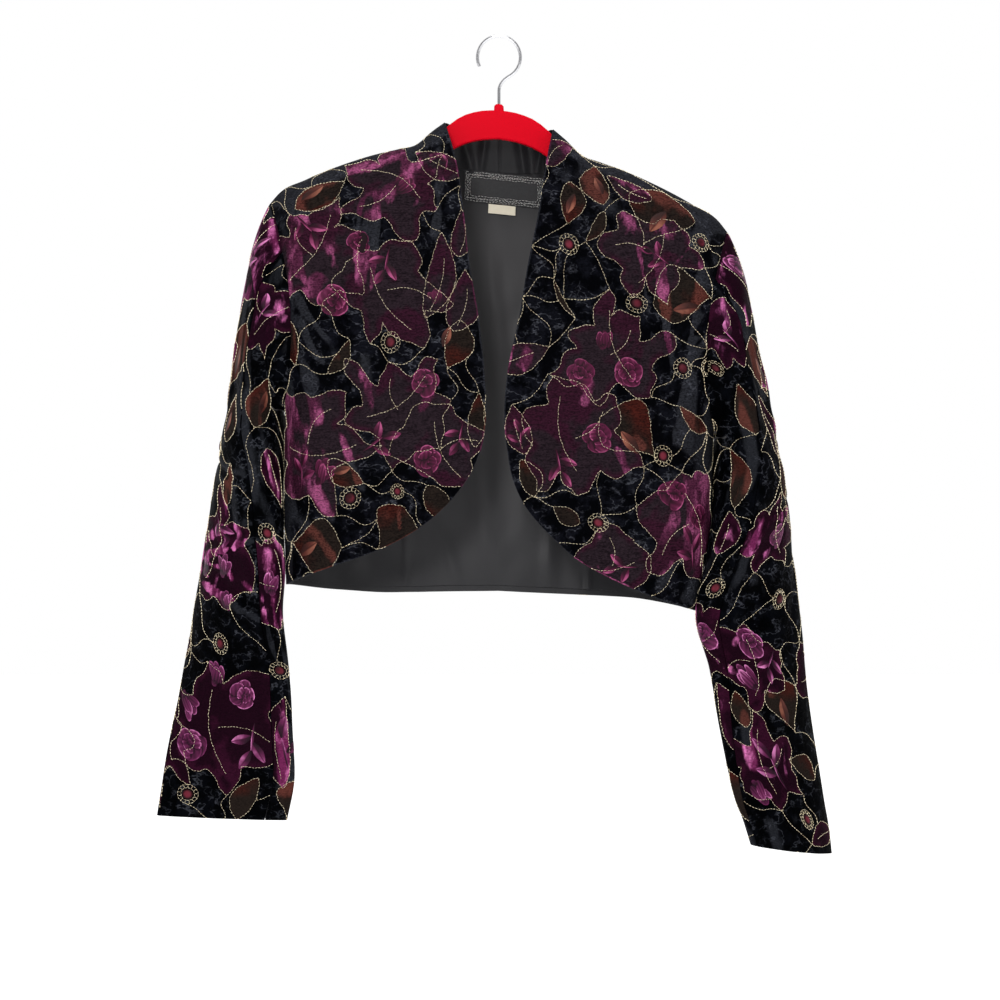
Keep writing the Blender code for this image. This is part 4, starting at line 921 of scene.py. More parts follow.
def sleeve_point(side, ring, angle):
    """Outer points of a sleeve; angle 0 is the front tip of a ring, 90 its outer edge, 270 its inner one."""
    centre_out, centre_drop, way, deep, wide, turn, back = sleeve_columns(side, ring)
    way, turn, round_angle = np.radians(way), np.radians(turn), np.radians(angle)
    lift = sleeve_lift(side, ring, angle)
    long_part = (deep + lift) * np.cos(round_angle)
    short_part = (wide + lift) * np.sin(round_angle)
    outward = short_part * np.cos(turn) - long_part * np.sin(turn)
    forward = long_part * np.cos(turn) + short_part * np.sin(turn)
    ideal = np.stack([centre_out + outward * np.sin(way), back - forward,
                      -(centre_drop - outward * np.cos(way))], -1)
    arm_out, arm_drop = armhole(side, angle)
    front = body_depth(side, "front", arm_out, arm_drop)
    behind = body_depth(side, "back", arm_out, arm_drop)
    depth = np.where(np.cos(round_angle) > 0, -front, behind)
    start = np.stack(np.broadcast_arrays(arm_out + SEAM_GAP, depth, -arm_drop), -1)
    blend = ease(ring / CAP_BLEND)[..., None]
    return start * (1 - blend) + ideal * blend


def path_lengths(points, axis):
    """Length walked along one axis of a grid of points."""
    steps = np.linalg.norm(np.diff(points, axis=axis), axis=-1)
    first = np.zeros_like(np.take(steps, [0], axis=axis))
    return np.concatenate([first, np.cumsum(steps, axis=axis)], axis=axis)


def sleeve_rings(side):
    """Rings at even steps down the sleeve's outer edge."""
    fine = np.linspace(0, LAST_RING, RING_POINTS)
    walked = path_lengths(sleeve_point(side, fine, np.full(fine.shape, 90.0)), 0)
    return np.interp(np.linspace(0, walked[-1], round(walked[-1] / GRID)), walked, fine)


def sleeve_cloth(side, rings):
    """Flat-cloth places of each ring at each of the cloth's angles: across from the front tip, and down."""
    ring, angle = np.meshgrid(rings, CLOTH_ANGLES, indexing="ij")
    points = sleeve_point(side, ring, angle)
    across = path_lengths(points, 1)
    across = across - across[:, [int(np.argmin(np.abs(CLOTH_ANGLES)))]]
    down = path_lengths(points, 0)
    down = down - down[[int(np.argmin(np.abs(rings - BICEPS_RING)))]]
    return across, down


def sleeve_piece(side, piece):
    """The top or under sleeve, between its two seams."""
    rings = sleeve_rings(side)
    front = smooth_through(FRONT_SEAM[:, 0], FRONT_SEAM[:, SIDE_COLUMN[side]], rings)[:, None]
    columns = np.linspace(0, 1, round(ACROSS[piece] / GRID))
    if piece == "top":
        angle = front + (BACK_SEAM_ANGLE - front) * columns
    else:
        start = BACK_SEAM_ANGLE - 360.0 + SLEEVE_SEAM
        angle = start + (front - SLEEVE_SEAM - start) * columns
    ring = np.repeat(rings[:, None], angle.shape[1], 1)
    outer = sleeve_point(side, ring, angle)
    turn_way = sleeve_point(side, ring, angle + TURN_STEP) - sleeve_point(side, ring, angle - TURN_STEP)
    down_way = sleeve_point(side, ring + RING_STEP, angle) - sleeve_point(side, ring - RING_STEP, angle)
    inward = unit(np.cross(turn_way, down_way))
    inward[0] = armhole_inward(angle[0])
    cloth = np.stack([
        [np.interp(angle[r], CLOTH_ANGLES, lengths[r]) for r in range(len(rings))]
        for lengths in sleeve_cloth(side, rings)], -1)
    name = "sleeve_" + piece + "_" + side
    return Panel(name, hung(outer, side), hung(outer + inward * CLOTH, side), cloth)


# Motif outlines


def bowed(start, end, bow, wave_share=0.0, count=VEIN_POINTS, endpoint=True):
    """A line from start to end that bows and waves to its side, by shares of its length."""
    t = np.linspace(0, 1, count, endpoint=endpoint)[:, None]
    run = end - start
    sideways = np.array([-run[1], run[0]])
    return start + run * t + sideways * (bow * np.sin(t * np.pi) + wave_share * np.sin(t * 2 * np.pi))


def own_chance(row, across_factor, down_factor):
    """Chance of a chart row's own, the same on each run."""
    return np.random.default_rng(abs(int(row[1] * across_factor + row[2] * down_factor)))


def lobed_leaf(row):
    """Outline, line ends and veins of a lobed leaf one unit long, uneven in its own way."""
    chance = own_chance(row, *LEAF_SEED)
    corners = np.array(LOBED[row[0]], dtype=float)
    corners[:, 0] += chance.uniform(-LEAF_SWING, LEAF_SWING, len(corners))
    corners[:, 1] *= 1 + chance.uniform(-LEAF_UNEVEN, LEAF_UNEVEN, len(corners))
    way = np.radians(corners[:, 0])
    corners = np.stack([np.cos(way), np.sin(way)], -1) * corners[:, 1:]
    corners /= np.ptp(corners[:, 1])
    sides = []
    for start, end in zip(corners, np.roll(corners, -1, axis=0)):
        bow = chance.uniform(*LEAF_BOW)
        wave_share = chance.uniform(-LEAF_WAVE, LEAF_WAVE)
        sides.append(bowed(start, end, bow, wave_share, LEAF_SIDE_POINTS, endpoint=False))
    tips = corners[::2]
    veins = []
    pairs = ((tips[len(tips) // 2], tips[0]), (tips[0], tips[1]))
    for (first, last), (first_share, last_share, bow) in zip(pairs, LEAF_VEINS):
        veins.append(bowed(first * first_share, last * last_share, bow))
    return np.concatenate(sides), np.concatenate([tips, corners[1::4]]), veins


def plain_outline(width, widest, bow):
    """Closed outline of a plain pointed leaf, one unit long, bowed to one side."""
    t = np.linspace(0, 1, PLAIN_POINTS)
    bend = np.log(0.5) / np.log(widest)
    half = width / 2 * np.sin(np.pi * t ** bend) ** PLAIN_BLUNT
    middle = bow * np.sin(np.pi * t)
    right = np.stack([middle + half, t - 0.5], -1)
    left = np.stack([middle - half * PLAIN_UNEVEN, t - 0.5], -1)[-2:0:-1]
    return np.concatenate([right, left])


def turned(shape, row):
    """A unit shape at the place, length and turn of a chart row, on the flat cloth in metres."""
    _, across, down, length, turn = row
    way = math.radians(turn)
    spin = np.array([(math.cos(way), -math.sin(way)), (-math.sin(way), -math.cos(way))])
    return (np.array([across, down]) + shape @ spin.T * length) / MM


def ellipse(width, count):
    """Closed ellipse of unit length and the given width."""
    turn = np.linspace(0, 2 * np.pi, count, endpoint=False)
    return np.stack([width / 2 * np.cos(turn), np.sin(turn) / 2], -1)


def motif(row):
    """Outline, line ends, fill layer and inner gold lines of one chart row, on the flat cloth."""
    kind = row[0]
    if kind in LOBED:
        outline, tips, veins = lobed_leaf(row)
        layer = "leaf"
    elif kind == "medallion":
        outline = ellipse(MEDALLION_WIDTH, MEDALLION_POINTS)
        tips = ellipse(MEDALLION_WIDTH, 2)
        layer, veins = "ring", []
    else:
        bow = PLAIN_BOW * math.sin(row[1] * BOW_CHANGE + row[2])
        outline = plain_outline(*(PLAIN[kind] if kind in PLAIN else PURPLE_PLAIN[kind]), bow)
        tips = outline[PLAIN_TIPS]
        t = np.linspace(*RIB)
        rib = np.stack([bow * np.cos(t * np.pi), t], -1)
        layer, veins = ("brown", []) if kind in PLAIN else ("leaf", [rib])
    return {"outline": turned(outline, row), "tips": turned(tips, row), "layer": layer,
            "veins": [turned(vein, row) for vein in veins], "row": row}


def inside_depth(places, outline):
    """Depth of places inside a closed outline, less than nothing outside it."""
    start, end = outline, np.roll(outline, -1, axis=0)
    run = end - start
    gap = run_gaps(places, start, run).min(axis=1)
    away = places[:, None] - start
    rise = np.where(np.abs(run[:, 1]) < TINY, TINY, run[:, 1])
    crosses = (start[:, 1] > places[:, 1:]) != (end[:, 1] > places[:, 1:])
    crosses &= away[..., 0] < run[:, 0] * away[..., 1] / rise
    return np.where(crosses.sum(axis=1) % 2 == 1, gap, -gap)


def print_layers(panel, motifs):
    """Depth inside purple and inside brown motifs at each point of a panel, and the span along its motif."""
    places = panel.cloth.reshape(-1, 2)
    layers = {name: np.full(len(places), NO_MOTIF) for name in ("leaf", "brown")}
    layers["span"] = np.zeros(len(places))
    for item in motifs:
        if item["layer"] not in layers:
            continue
        low = item["outline"].min(axis=0) - DEPTH_MARGIN
        high = item["outline"].max(axis=0) + DEPTH_MARGIN
        near = np.flatnonzero(np.all((places > low) & (places < high), axis=1))
        if len(near):
            depth = inside_depth(places[near], item["outline"])
            more = depth > layers[item["layer"]][near]
            layers[item["layer"]][near[more]] = depth[more]
            _, across, down, length, turn = item["row"]
            way = np.array([math.sin(math.radians(turn)), -math.cos(math.radians(turn))])
            painted = near[more & (depth > -SPAN_MARGIN)]
            layers["span"][painted] = (places[painted] * MM - (across, down)) @ way / length
    return layers


# Gold lines between motifs


def crosses_any(a, b, lines):
    """Whether a straight line from a to b crosses any of the lines."""
    def turn(p, q, r):
        return (q[0] - p[0]) * (r[1] - p[1]) - (q[1] - p[1]) * (r[0] - p[0])
    return any(turn(a, b, c) * turn(a, b, d) < 0 and turn(c, d, a) * turn(c, d, b) < 0 for c, d in lines)


def line_ends(panel, motifs):
    """Places where lines may end, each with the number of its motif, or -1 on the panel's border."""
    ends = [(tip, number) for number, item in enumerate(motifs) for tip in item["tips"]]
    border = panel.border()
    walked = path_lengths(border, 0)
    step = BORDER_STEP[panel.part]
    stops = np.arange(step / 2, walked[-1], step)
    return ends + [(along(border, [stop / walked[-1]])[0], -1) for stop in stops]


def meets_motif(a, b, motifs):
    """Whether a straight line from a to b comes too near to any motif."""
    probes = a + (b - a) * np.linspace(*LINE_PROBES)[:, None]
    near = [item for item in motifs if math.dist(item["outline"].mean(axis=0), (a + b) / 2) < MOTIF_REACH]
    return any(np.any(inside_depth(probes, item["outline"]) > -LINE_CLEAR) for item in near)


def connecting_lines(panel, motifs):
    """Bowed lines from motif to motif and to the panel's edge, none through a motif or another line."""
    ends = line_ends(panel, motifs)
    pairs = []
    for i, (a, first) in enumerate(ends):
        for j in range(i + 1, len(ends)):
            b, second = ends[j]
            length = math.dist(a, b)
            if first != second and LINE_SHORTEST < length < LINE_LONGEST:
                pairs.append((length, i, j))
    lines, ways = [], {}
    for _, i, j in sorted(pairs):
        a, b = ends[i][0], ends[j][0]
        heading = math.degrees(math.atan2(b[1] - a[1], b[0] - a[0]))
        crowded = False
        for end, way in ((i, heading), (j, heading + 180)):
            for other in ways.get(end, []):
                crowded |= abs((way - other + 180) % 360 - 180) < LINE_SPREAD[panel.part]
        if crowded or crosses_any(a, b, lines) or meets_motif(a, b, motifs):
            continue
        lines.append((a, b))
        ways.setdefault(i, []).append(heading)
        ways.setdefault(j, []).append(heading + 180)
    drawn = []
    for a, b in lines:
        bow, wave_share = dice.uniform(-LINE_BOW, LINE_BOW, 2)
        drawn.append(bowed(a, b, bow, wave_share / 2, LINE_POINTS))
    return drawn


# Meshes


def in_scene(name, data):
    """A new object in the scene, with the data given."""
    made = bpy.data.objects.new(name, data)
    bpy.context.scene.collection.objects.link(made)
    return made


def new_piece(name, points, faces, material):
    """A mesh piece that rides on the part's one body."""
    mesh = bpy.data.meshes.new(name)
    mesh.from_pydata(points, [], faces)
    mesh.validate()
    mesh.shade_smooth()
    mesh.set_sharp_from_angle(angle=math.radians(SHARP_ANGLE))
    piece = in_scene(name, mesh)
    mesh.materials.append(material)
    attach(piece, "root")
    return piece


def add_values(piece, name, values):
    """One number for each point of a piece, for its material to read."""
    layer = piece.data.attributes.new(name, "FLOAT", "POINT")
    layer.data.foreach_set("value", np.asarray(values, dtype=np.float32).ravel())


def wall_faces(rows, columns):
    """Faces of an outer grid, of the rim and of an inner grid, with the count of the first two."""
    number = np.arange(rows * columns).reshape(rows, columns)
    outer = np.stack([number[:-1, :-1], number[:-1, 1:], number[1:, 1:], number[1:, :-1]], -1).reshape(-1, 4)
    inner = outer[:, ::-1] + rows * columns
    rim = np.concatenate([number[0], number[1:, -1], number[-1, -2::-1], number[-2:0:-1, 0]])
    after = np.roll(rim, -1)
    sides = np.stack([after, rim, rim + rows * columns, after + rows * columns], -1)
    return np.concatenate([outer, sides, inner]), len(outer) + len(sides)


def cloth_wall(name, outer, inner, materials, replaced):
    """Closed wall of cloth between two grids; the second material, if any, is on the inner side."""
    rows, columns = outer.shape[:2]
    faces, outside = wall_faces(rows, columns)
    row, column = rows // 2, columns // 2
    across = outer[row, column + 1] - outer[row, column]
    up = outer[row + 1, column] - outer[row, column]
    if np.dot(np.cross(across, up), (outer - inner)[row, column]) < 0:
        faces = faces[:, ::-1]
    points = np.concatenate([outer.reshape(-1, 3), inner.reshape(-1, 3)])
    piece = new_piece(name, points, faces.tolist(), materials[0])
    if len(materials) > 1:
        piece.data.materials.append(materials[1])
        index = np.zeros(len(faces), dtype=np.int32)
        index[outside:] = 1
        piece.data.polygons.foreach_set("material_index", index)
    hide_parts(replaced)
    return piece


def both_sides(values):
    """Outer values repeated for the inner points."""
    flat = np.asarray(values).ravel()
    return np.concatenate([flat, flat])


class Thread:
    """Collects stitches and makes them one mesh."""

    def __init__(self, panel):
        self.panel = panel
        self.starts, self.ends, self.ups = [], [], []

    def sew(self, line, closed=False):
        """Stitches along a line on the flat cloth, where it lies on the panel."""
        if closed:
            line = np.concatenate([line, line[:1]])
        length = path_lengths(line, 0)[-1]
        fine = along(line, np.linspace(0, 1, max(4, int(length / SEW_STEP))))
        walked = path_lengths(fine, 0)
        heading = np.gradient(fine, axis=0)
        heading /= np.linalg.norm(heading, axis=1, keepdims=True) + STILL
        reach = STITCH_WANDER / 2 * min(1.0, length / WANDER_FULL)
        sway = reach * sum(np.sin(walked * rate + dice.uniform(0, WANDER_START)) for rate in WANDER_RATES)
        fine = fine + np.stack([-heading[:, 1], heading[:, 0]], -1) * sway[:, None]
        points, normals, there = self.panel.at(fine)
        runs = np.split(np.arange(len(fine)), np.flatnonzero(np.diff(there.astype(int))) + 1)
        for run in runs:
            if not there[run[0]] or len(run) < 3:
                continue
            walked = path_lengths(points[run], 0)
            pitch = STITCH_LENGTH + STITCH_GAP
            count = max(1, round(walked[-1] / pitch))
            first = np.arange(count) * walked[-1] / count
            last = first + walked[-1] / count - STITCH_GAP
            self.starts.append(read_line(points[run], walked, first))
            self.ends.append(read_line(points[run], walked, last))
            self.ups.append(read_line(normals[run], walked, (first + last) / 2))

    def mesh(self, name, material):
        """All stitches as slim four-sided grains that lie on the cloth."""
        start, end, up = (np.concatenate(part) for part in (self.starts, self.ends, self.ups))
        way = end - start
        length = np.linalg.norm(way, axis=1, keepdims=True)
        keep = length[:, 0] > STITCH_SHORTEST
        start, end, up, way, length = start[keep], end[keep], up[keep], way[keep], length[keep]
        way = way / length
        side = unit(np.cross(way, up))
        side = side + way * dice.uniform(-STITCH_SLANT, STITCH_SLANT, (len(way), 1))
        rise = up * STITCH_HEIGHT
        half = side * STITCH_WIDTH / 2
        flank = rise * STITCH_FLANK
        root = rise * STITCH_ROOT
        shoulders = []
        for share in STITCH_SHOULDERS:
            middle = start + (end - start) * share
            shoulders += [middle + half + flank, middle + rise, middle - half + flank, middle - root]
        points = np.stack([start, *shoulders, end], axis=1)
        ring = [(1 + k, 1 + (k + 1) % 4, 5 + (k + 1) % 4, 5 + k) for k in range(4)]
        first_cap = [(0, 1 + (k + 1) % 4, 1 + k) for k in range(4)]
        last_cap = [(9, 5 + k, 5 + (k + 1) % 4) for k in range(4)]
        base = np.arange(len(points)) * points.shape[1]
        faces = [tuple(b + n for n in face) for b in base for face in ring + first_cap + last_cap]
        return new_piece(name, points.reshape(-1, 3), faces, material)


class Patches:
    """Collects small raised patches, such as roses, and makes them one mesh."""

    def __init__(self, panel):
        self.panel = panel
        self.points, self.faces, self.shades = [], [], []
        self.count = 0

    def add(self, row, shape, height, shade):
        """A patch from a grid of unit places (rings by turns), with its height and shade."""
        rings, turns = shape.shape[:2]
        points, normals, there = self.panel.at(turned(shape.reshape(-1, 2), row))
        if not there.all():
            return
        raised = (points + normals * height.reshape(-1, 1)).reshape(rings, turns, 3)
        under = (points - normals * PATCH_ROOT).reshape(rings, turns, 3)[-1]
        grid = np.concatenate([raised, under[None]])
        number = self.count + np.arange((rings + 1) * turns).reshape(rings + 1, turns)
        right = np.roll(number, -1, axis=1)
        self.faces += np.stack([number[:-1], number[1:], right[1:], right[:-1]], -1).reshape(-1, 4).tolist()
        self.faces += [number[0].tolist(), number[-1][::-1].tolist()]
        self.points.append(grid.reshape(-1, 3))
        self.shades.append(np.concatenate([shade.ravel(), np.full(turns, 0.0)]))
        self.count += (rings + 1) * turns

    def mesh(self, name, material):
        """All patches as one piece."""
        piece = new_piece(name, np.concatenate(self.points), self.faces, material)
        add_values(piece, "shade", np.concatenate(self.shades))
        return piece


def petal_light(along_petal, out_petal, depth):
    """Light on a petal: paler outward and on its outer rim, rippled, and dark on the rim at its base."""
    rise = 0.34 * ease((out_petal + 1) / 2)
    outer_rim = 0.55 * ease((depth - 0.62) / 0.25) * (out_petal > -0.1)
    ripple = 0.12 * np.sin(along_petal * 9 + out_petal * 3)
    base_rim = 0.55 * ease((depth - 0.86) / 0.14) * (out_petal < 0)
    return 0.24 + rise + outer_rim - ripple - base_rim


def petal_patch(petals):
    """Places, heights and shades of a flower whose petals lie one over another."""
    rings, turns = FLOWER_GRID
    turn = np.linspace(0, 2 * np.pi, turns, endpoint=False)
    reach = np.linspace(0, FLOWER_REACH, FLOWER_PROBES)[:, None]
    inside = np.zeros((len(reach), turns), dtype=bool)
    for petal in petals:
        inside |= petal_place(petal, reach * np.cos(turn), reach * np.sin(turn))[2] < 1
    rim = np.where(inside, reach, 0).max(axis=0)
    radius = np.linspace(FLOWER_FIRST, 1.0, rings)[:, None] * rim
    across, up = radius * np.cos(turn), radius * np.sin(turn)
    shade = np.zeros(radius.shape)
    for petal in petals:
        along_petal, out_petal, depth = petal_place(petal, across, up)
        shadow = ease((depth - 0.9) / 0.5)
        shade = np.where(depth < 1.4, shade * shadow, shade)
        lit = petal_light(along_petal, out_petal, depth) * petal[5]
        shade = np.where(depth < 1, np.clip(lit, 0, 1), shade)
    height = PATCH_RISE * (0.3 + 0.7 * shade) * (1 - (radius / rim) ** 6)
    return np.stack([across, up], -1), height, shade


def uneven_petals(row):
    """Petals of a chart row's flower, each shifted, turned and shaded a little in its own way."""
    chance = own_chance(row, *PETAL_SEED)
    petals = np.array(FLOWERS[row[0]])
    petals[:, :2] += chance.uniform(-PETAL_SHIFT, PETAL_SHIFT, (len(petals), 2))
    petals[:, 2:4] *= chance.uniform(*PETAL_SIZE, (len(petals), 2))
    petals[:, 4] += chance.uniform(-PETAL_TURN, PETAL_TURN, len(petals))
    petals[:, 5] *= chance.uniform(*PETAL_LIGHT, len(petals))
    return petals


def petal_place(petal, across, up):
    """Place of points along a petal and out from its base, and the square of their distance to its rim."""
    centre_across, centre_up, half_length, half_width, turn, _ = petal
    way = math.radians(turn)
    x, y = across - centre_across, up - centre_up
    along_petal = (x * math.cos(way) + y * math.sin(way)) / half_length
    out_petal = (y * math.cos(way) - x * math.sin(way)) / half_width
    return along_petal, out_petal, along_petal ** 2 + out_petal ** 2


def disc_grid(rings, turns):
    """Radius and turn of each point of a unit disc."""
    turn = np.linspace(0, 2 * np.pi, turns, endpoint=False)
    return np.meshgrid(np.linspace(DISC_FIRST, 1.0, rings), turn, indexing="ij")


def leaflet_patch(base, tip, width):
    """Places, heights and shades of one slim leaf of a sprig, from base to tip."""
    radius, turn = disc_grid(*LEAFLET_GRID)
    base, tip = np.array(base), np.array(tip)
    way = tip - base
    side = np.array([-way[1], way[0]])
    lengthwise = radius * np.cos(turn)
    breadth = radius * np.sin(turn) * width * (1 - 0.55 * lengthwise ** 2)
    places = (base + tip) / 2 + lengthwise[..., None] * way / 2 + breadth[..., None] * side / 2
    rib = np.exp(-(radius * np.sin(turn) / 0.14) ** 2)
    shade = (0.45 + 0.4 * lengthwise + 0.25 * np.sin(turn)) * (1 - 0.6 * rib)
    return places, PATCH_RISE * (1 - radius ** 4), np.clip(shade, 0.05, 1)


def dome_patch():
    """Places, heights and shades of a medallion's stone: shade painted light on the dome's crown and dark
    towards its rim, a painted highlight.
    """
    radius, turn = disc_grid(*STONE_GRID)
    spread = radius * MEDALLION_STONE / 2
    places = np.stack([spread * np.cos(turn) * MEDALLION_WIDTH, spread * np.sin(turn)], -1)
    height = STONE_BASE + STONE_RISE * np.sqrt(np.clip(1 - radius ** 2, 0, 1))
    return places, height, 1 - radius ** 2 * 0.7


# Materials


class Nodes:
    """Short names for building a material's node tree."""

    def __init__(self, name):
        self.material = bpy.data.materials.new(name)
        self.material.use_nodes = True
        self.tree = self.material.node_tree
        self.shader = self.tree.nodes["Principled BSDF"]

    def node(self, kind, **settings):
        """Adds a node and sets its own settings."""
        made = self.tree.nodes.new(kind)
        for key, value in settings.items():
            setattr(made, key, value)
        return made

    def link(self, source, target):
        """Joins an output to an input."""
        self.tree.links.new(source, target)

    def value(self, name):
        """Reads a piece's stored numbers."""
        return self.node("ShaderNodeAttribute", attribute_name=name).outputs["Fac"]

    def spots(self, scale, detail=3.0, rough=0.55, stretch=(1, 1, 1)):
        """Noise in the part's own coordinates."""
        source = self.node("ShaderNodeTexCoord").outputs["Object"]
        mapping = self.node("ShaderNodeMapping")
        mapping.inputs["Scale"].default_value = stretch
        noise = self.node("ShaderNodeTexNoise")
        noise.inputs["Scale"].default_value = scale
        noise.inputs["Detail"].default_value = detail
        noise.inputs["Roughness"].default_value = rough
        self.link(source, mapping.inputs["Vector"])
        self.link(mapping.outputs["Vector"], noise.inputs["Vector"])
        return noise.outputs["Fac"]

    def between(self, source, low, high):
        """A smooth 0 to 1 as a number goes from low to high."""
        made = self.node("ShaderNodeMapRange", interpolation_type="SMOOTHSTEP")
        made.inputs["From Min"].default_value = low
        made.inputs["From Max"].default_value = high
        self.link(source, made.inputs["Value"])
        return made.outputs["Result"]

    def reckon(self, operation, first, second):
        """One arithmetic step on two numbers or outputs."""
        made = self.node("ShaderNodeMath", operation=operation)
        for socket, given in zip(made.inputs, (first, second)):
            if isinstance(given, (int, float)):
                socket.default_value = given
            else:
                self.link(given, socket)
        return made.outputs["Value"]

    def times(self, first, second):
        """Product of two numbers or outputs."""
        return self.reckon("MULTIPLY", first, second)

    def plus(self, first, second):
        """Sum of two numbers or outputs."""
        return self.reckon("ADD", first, second)

    def blend(self, share, first, second):
        """Colour between two colours or outputs."""
        made = self.node("ShaderNodeMix", data_type="RGBA")
        for socket, given in ((made.inputs[0], share), (made.inputs[6], first), (made.inputs[7], second)):
            if isinstance(given, tuple):
                socket.default_value = given + (1.0,)
            else:
                self.link(given, socket)
        return made.outputs[2]

    def bump(self, height, distance, strength):
        """Adds relief to what the shader already has."""
        made = self.node("ShaderNodeBump")
        made.inputs["Distance"].default_value = distance
        made.inputs["Strength"].default_value = strength
        self.link(height, made.inputs["Height"])
        before = self.shader.inputs["Normal"].links
        if before:
            self.link(before[0].from_socket, made.inputs["Normal"])
        self.link(made.outputs["Normal"], self.shader.inputs["Normal"])

    def drive(self, name, source):
        """Joins an output to a socket of the shader."""
        self.link(source, self.shader.inputs[name])

    def set(self, **sockets):
        """Sets shader sockets that are the same all over."""
        for name, given in sockets.items():
            socket = self.shader.inputs[name.replace("_", " ")]
            socket.default_value = given if isinstance(given, (int, float)) else tuple(given)


def velvet(name, looks):
    """Crushed velvet: near-black ground, purple and brown printed leaves, slubs, and the pile's sheen and
    glints painted into the colour as highlights.
    """
    made = Nodes(name)
    crushed = made.spots(64, 4.0, 0.65)
    fine = made.spots(260, 3.0, 0.6)
    brushed = made.spots(70, 4.0, 0.65, (1, 1, 0.4))
    slub = made.between(made.spots(10, 3.0, 0.65, (9, 9, 78)), 0.47, 0.66)
    slub = made.times(slub, looks["slubs"])
    folded = made.reckon("SUBTRACT", made.spots(58, 3.0, 0.55, (1, 1, 1.5)), 0.5)
    crinkle = made.between(made.reckon("ABSOLUTE", folded, 0.0), 0.030, 0.0)
    patchy = made.between(crushed, 0.42, 0.64)
    leaf_depth, brown_depth = made.value("leaf"), made.value("brown")
    painted_sheen, span = made.value("painted_sheen"), made.value("span")
    # Painted sheen: gleam rises with the stored painted sheen and brushed noise, and paints the highlights
    # below
    gleam = made.between(made.plus(painted_sheen, made.times(brushed, 0.9)), 0.77, 1.07)

    ground = made.blend(patchy, *looks["ground"])
    # Painted glints on the ground's crinkles, and painted sheen where the gleam crosses it
    ground = made.blend(made.times(crinkle, patchy), ground, looks["glint"])
    ground = made.blend(made.times(gleam, 0.35), ground, looks["glint"])

    rim = made.times(made.between(leaf_depth, 0.0075, 0.0010), made.between(brushed, 0.40, 0.56))
    washed = made.plus(made.spots(24, 3.0, 0.55), made.times(span, 0.35))
    washed = made.between(washed, 0.56, 0.66)
    purple = made.blend(made.reckon("MAXIMUM", rim, washed), *looks["leaf"])
    purple = made.blend(made.times(slub, 0.6), purple, looks["slub"])
    # Painted highlights on the purple leaves: gleam, then brighter shine
    purple = made.blend(gleam, purple, looks["gleam"])
    shine = made.times(gleam, made.between(brushed, 0.46, 0.64))
    purple = made.blend(shine, purple, looks["shine"])

    rust = made.between(made.plus(made.spots(34, 3.0, 0.6), span), 0.50, 1.00)
    brown = made.blend(rust, BROWN["plain"], BROWN["rust"])
    brown = made.blend(made.times(slub, 0.55), brown, BROWN["slub"])
    # Painted highlight on the brown leaves
    brown = made.blend(made.times(gleam, 0.6), brown, BROWN["gleam"])

    colour = made.blend(made.between(brown_depth, -0.0003, 0.0003), ground, brown)
    colour = made.blend(made.between(leaf_depth, -0.0003, 0.0003), colour, purple)
    # Fine dark speckle of painted shade between the hairs of the pile
    pile_shade = made.between(made.spots(430, 2.0, 0.6, (1, 1, 2.0)), 0.40, 0.66)
    colour = made.blend(made.times(pile_shade, looks["pile_shade"]), colour, PILE_SHADE)
    made.drive("Base Color", colour)
    made.drive("Roughness", made.between(fine, -0.9, 1.7))
    made.set(Specular_IOR_Level=0.006, Sheen_Weight=0.0015, Sheen_Roughness=0.35,
             Sheen_Tint=(0.80, 0.62, 0.76, 1.0))
    made.bump(crushed, 0.0030, 0.6)
    made.bump(crinkle, 0.0008, 0.5)
    made.bump(fine, 0.0006, 0.4)
    made.bump(made.between(leaf_depth, -0.0012, 0.0006), 0.0004, 0.6)
    return made.material


def satin():
    """Charcoal satin lining with faint puckers; painted sheen on their rises, and painted light in a band
    between hem and neck, with painted shade towards both.
    """
    made = Nodes("satin")
    soft = made.spots(9, 3.0, 0.5, (1, 1, 0.45))
    height = made.node("ShaderNodeSeparateXYZ")
    made.link(made.node("ShaderNodeTexCoord").outputs["Object"], height.inputs["Vector"])
    # Painted light: a lighter band between hem and neck, with painted shade darkening towards each
    above_hem = made.between(height.outputs["Z"], -0.54, -0.30)
    below_neck = made.between(height.outputs["Z"], -0.11, -0.20)
    high = made.times(above_hem, below_neck)
    # Painted sheen where the puckers rise, added to the painted light of the band
    pale = made.plus(made.times(soft, 0.4), made.times(high, 0.8))
    weave = made.spots(900, 2.0, 0.5, (1, 1, 0.25))
    made.drive("Base Color", made.blend(pale, (0.0050, 0.0052, 0.0068), (0.0560, 0.0545, 0.0565)))
    made.drive("Roughness", made.between(soft, -0.5, 1.9))
    made.set(Specular_IOR_Level=0.15, Sheen_Weight=0.004)
    made.bump(soft, 0.0030, 0.4)
    made.bump(weave, 0.0002, 0.2)
    return made.material


def gold_thread():
    """Pale gold thread with glints painted into its colour."""
    made = Nodes("gold_thread")
    # Painted glints: spots along the thread run from dark gold to bright
    glint = made.between(made.spots(560, 2.0), 0.32, 0.56)
    made.drive("Base Color", made.blend(glint, (0.30, 0.210, 0.110), (1.00, 0.88, 0.62)))
    made.set(Metallic=0.1, Roughness=0.38, Specular_IOR_Level=0.4)
    return made.material


def printed(name, dark, middle, light):
    """Raised print that runs from a dark colour in its hollows to a light one on its edges, or on a
    medallion's stone from its rim to a painted highlight on its crown.
    """
    made = Nodes(name)
    shade = made.value("shade")
    patchy = made.spots(70, 3.0)
    first = made.blend(made.between(shade, 0.0, 0.55), dark, middle)
    lit = made.times(made.between(shade, 0.45, 0.90), made.between(patchy, 0.30, 0.62))
    made.drive("Base Color", made.blend(lit, first, light))
    made.set(Roughness=0.5, Specular_IOR_Level=0.08, Sheen_Weight=0.05, Sheen_Roughness=0.3)
    made.bump(made.spots(420, 2.0), 0.0004, 0.5)
    return made.material


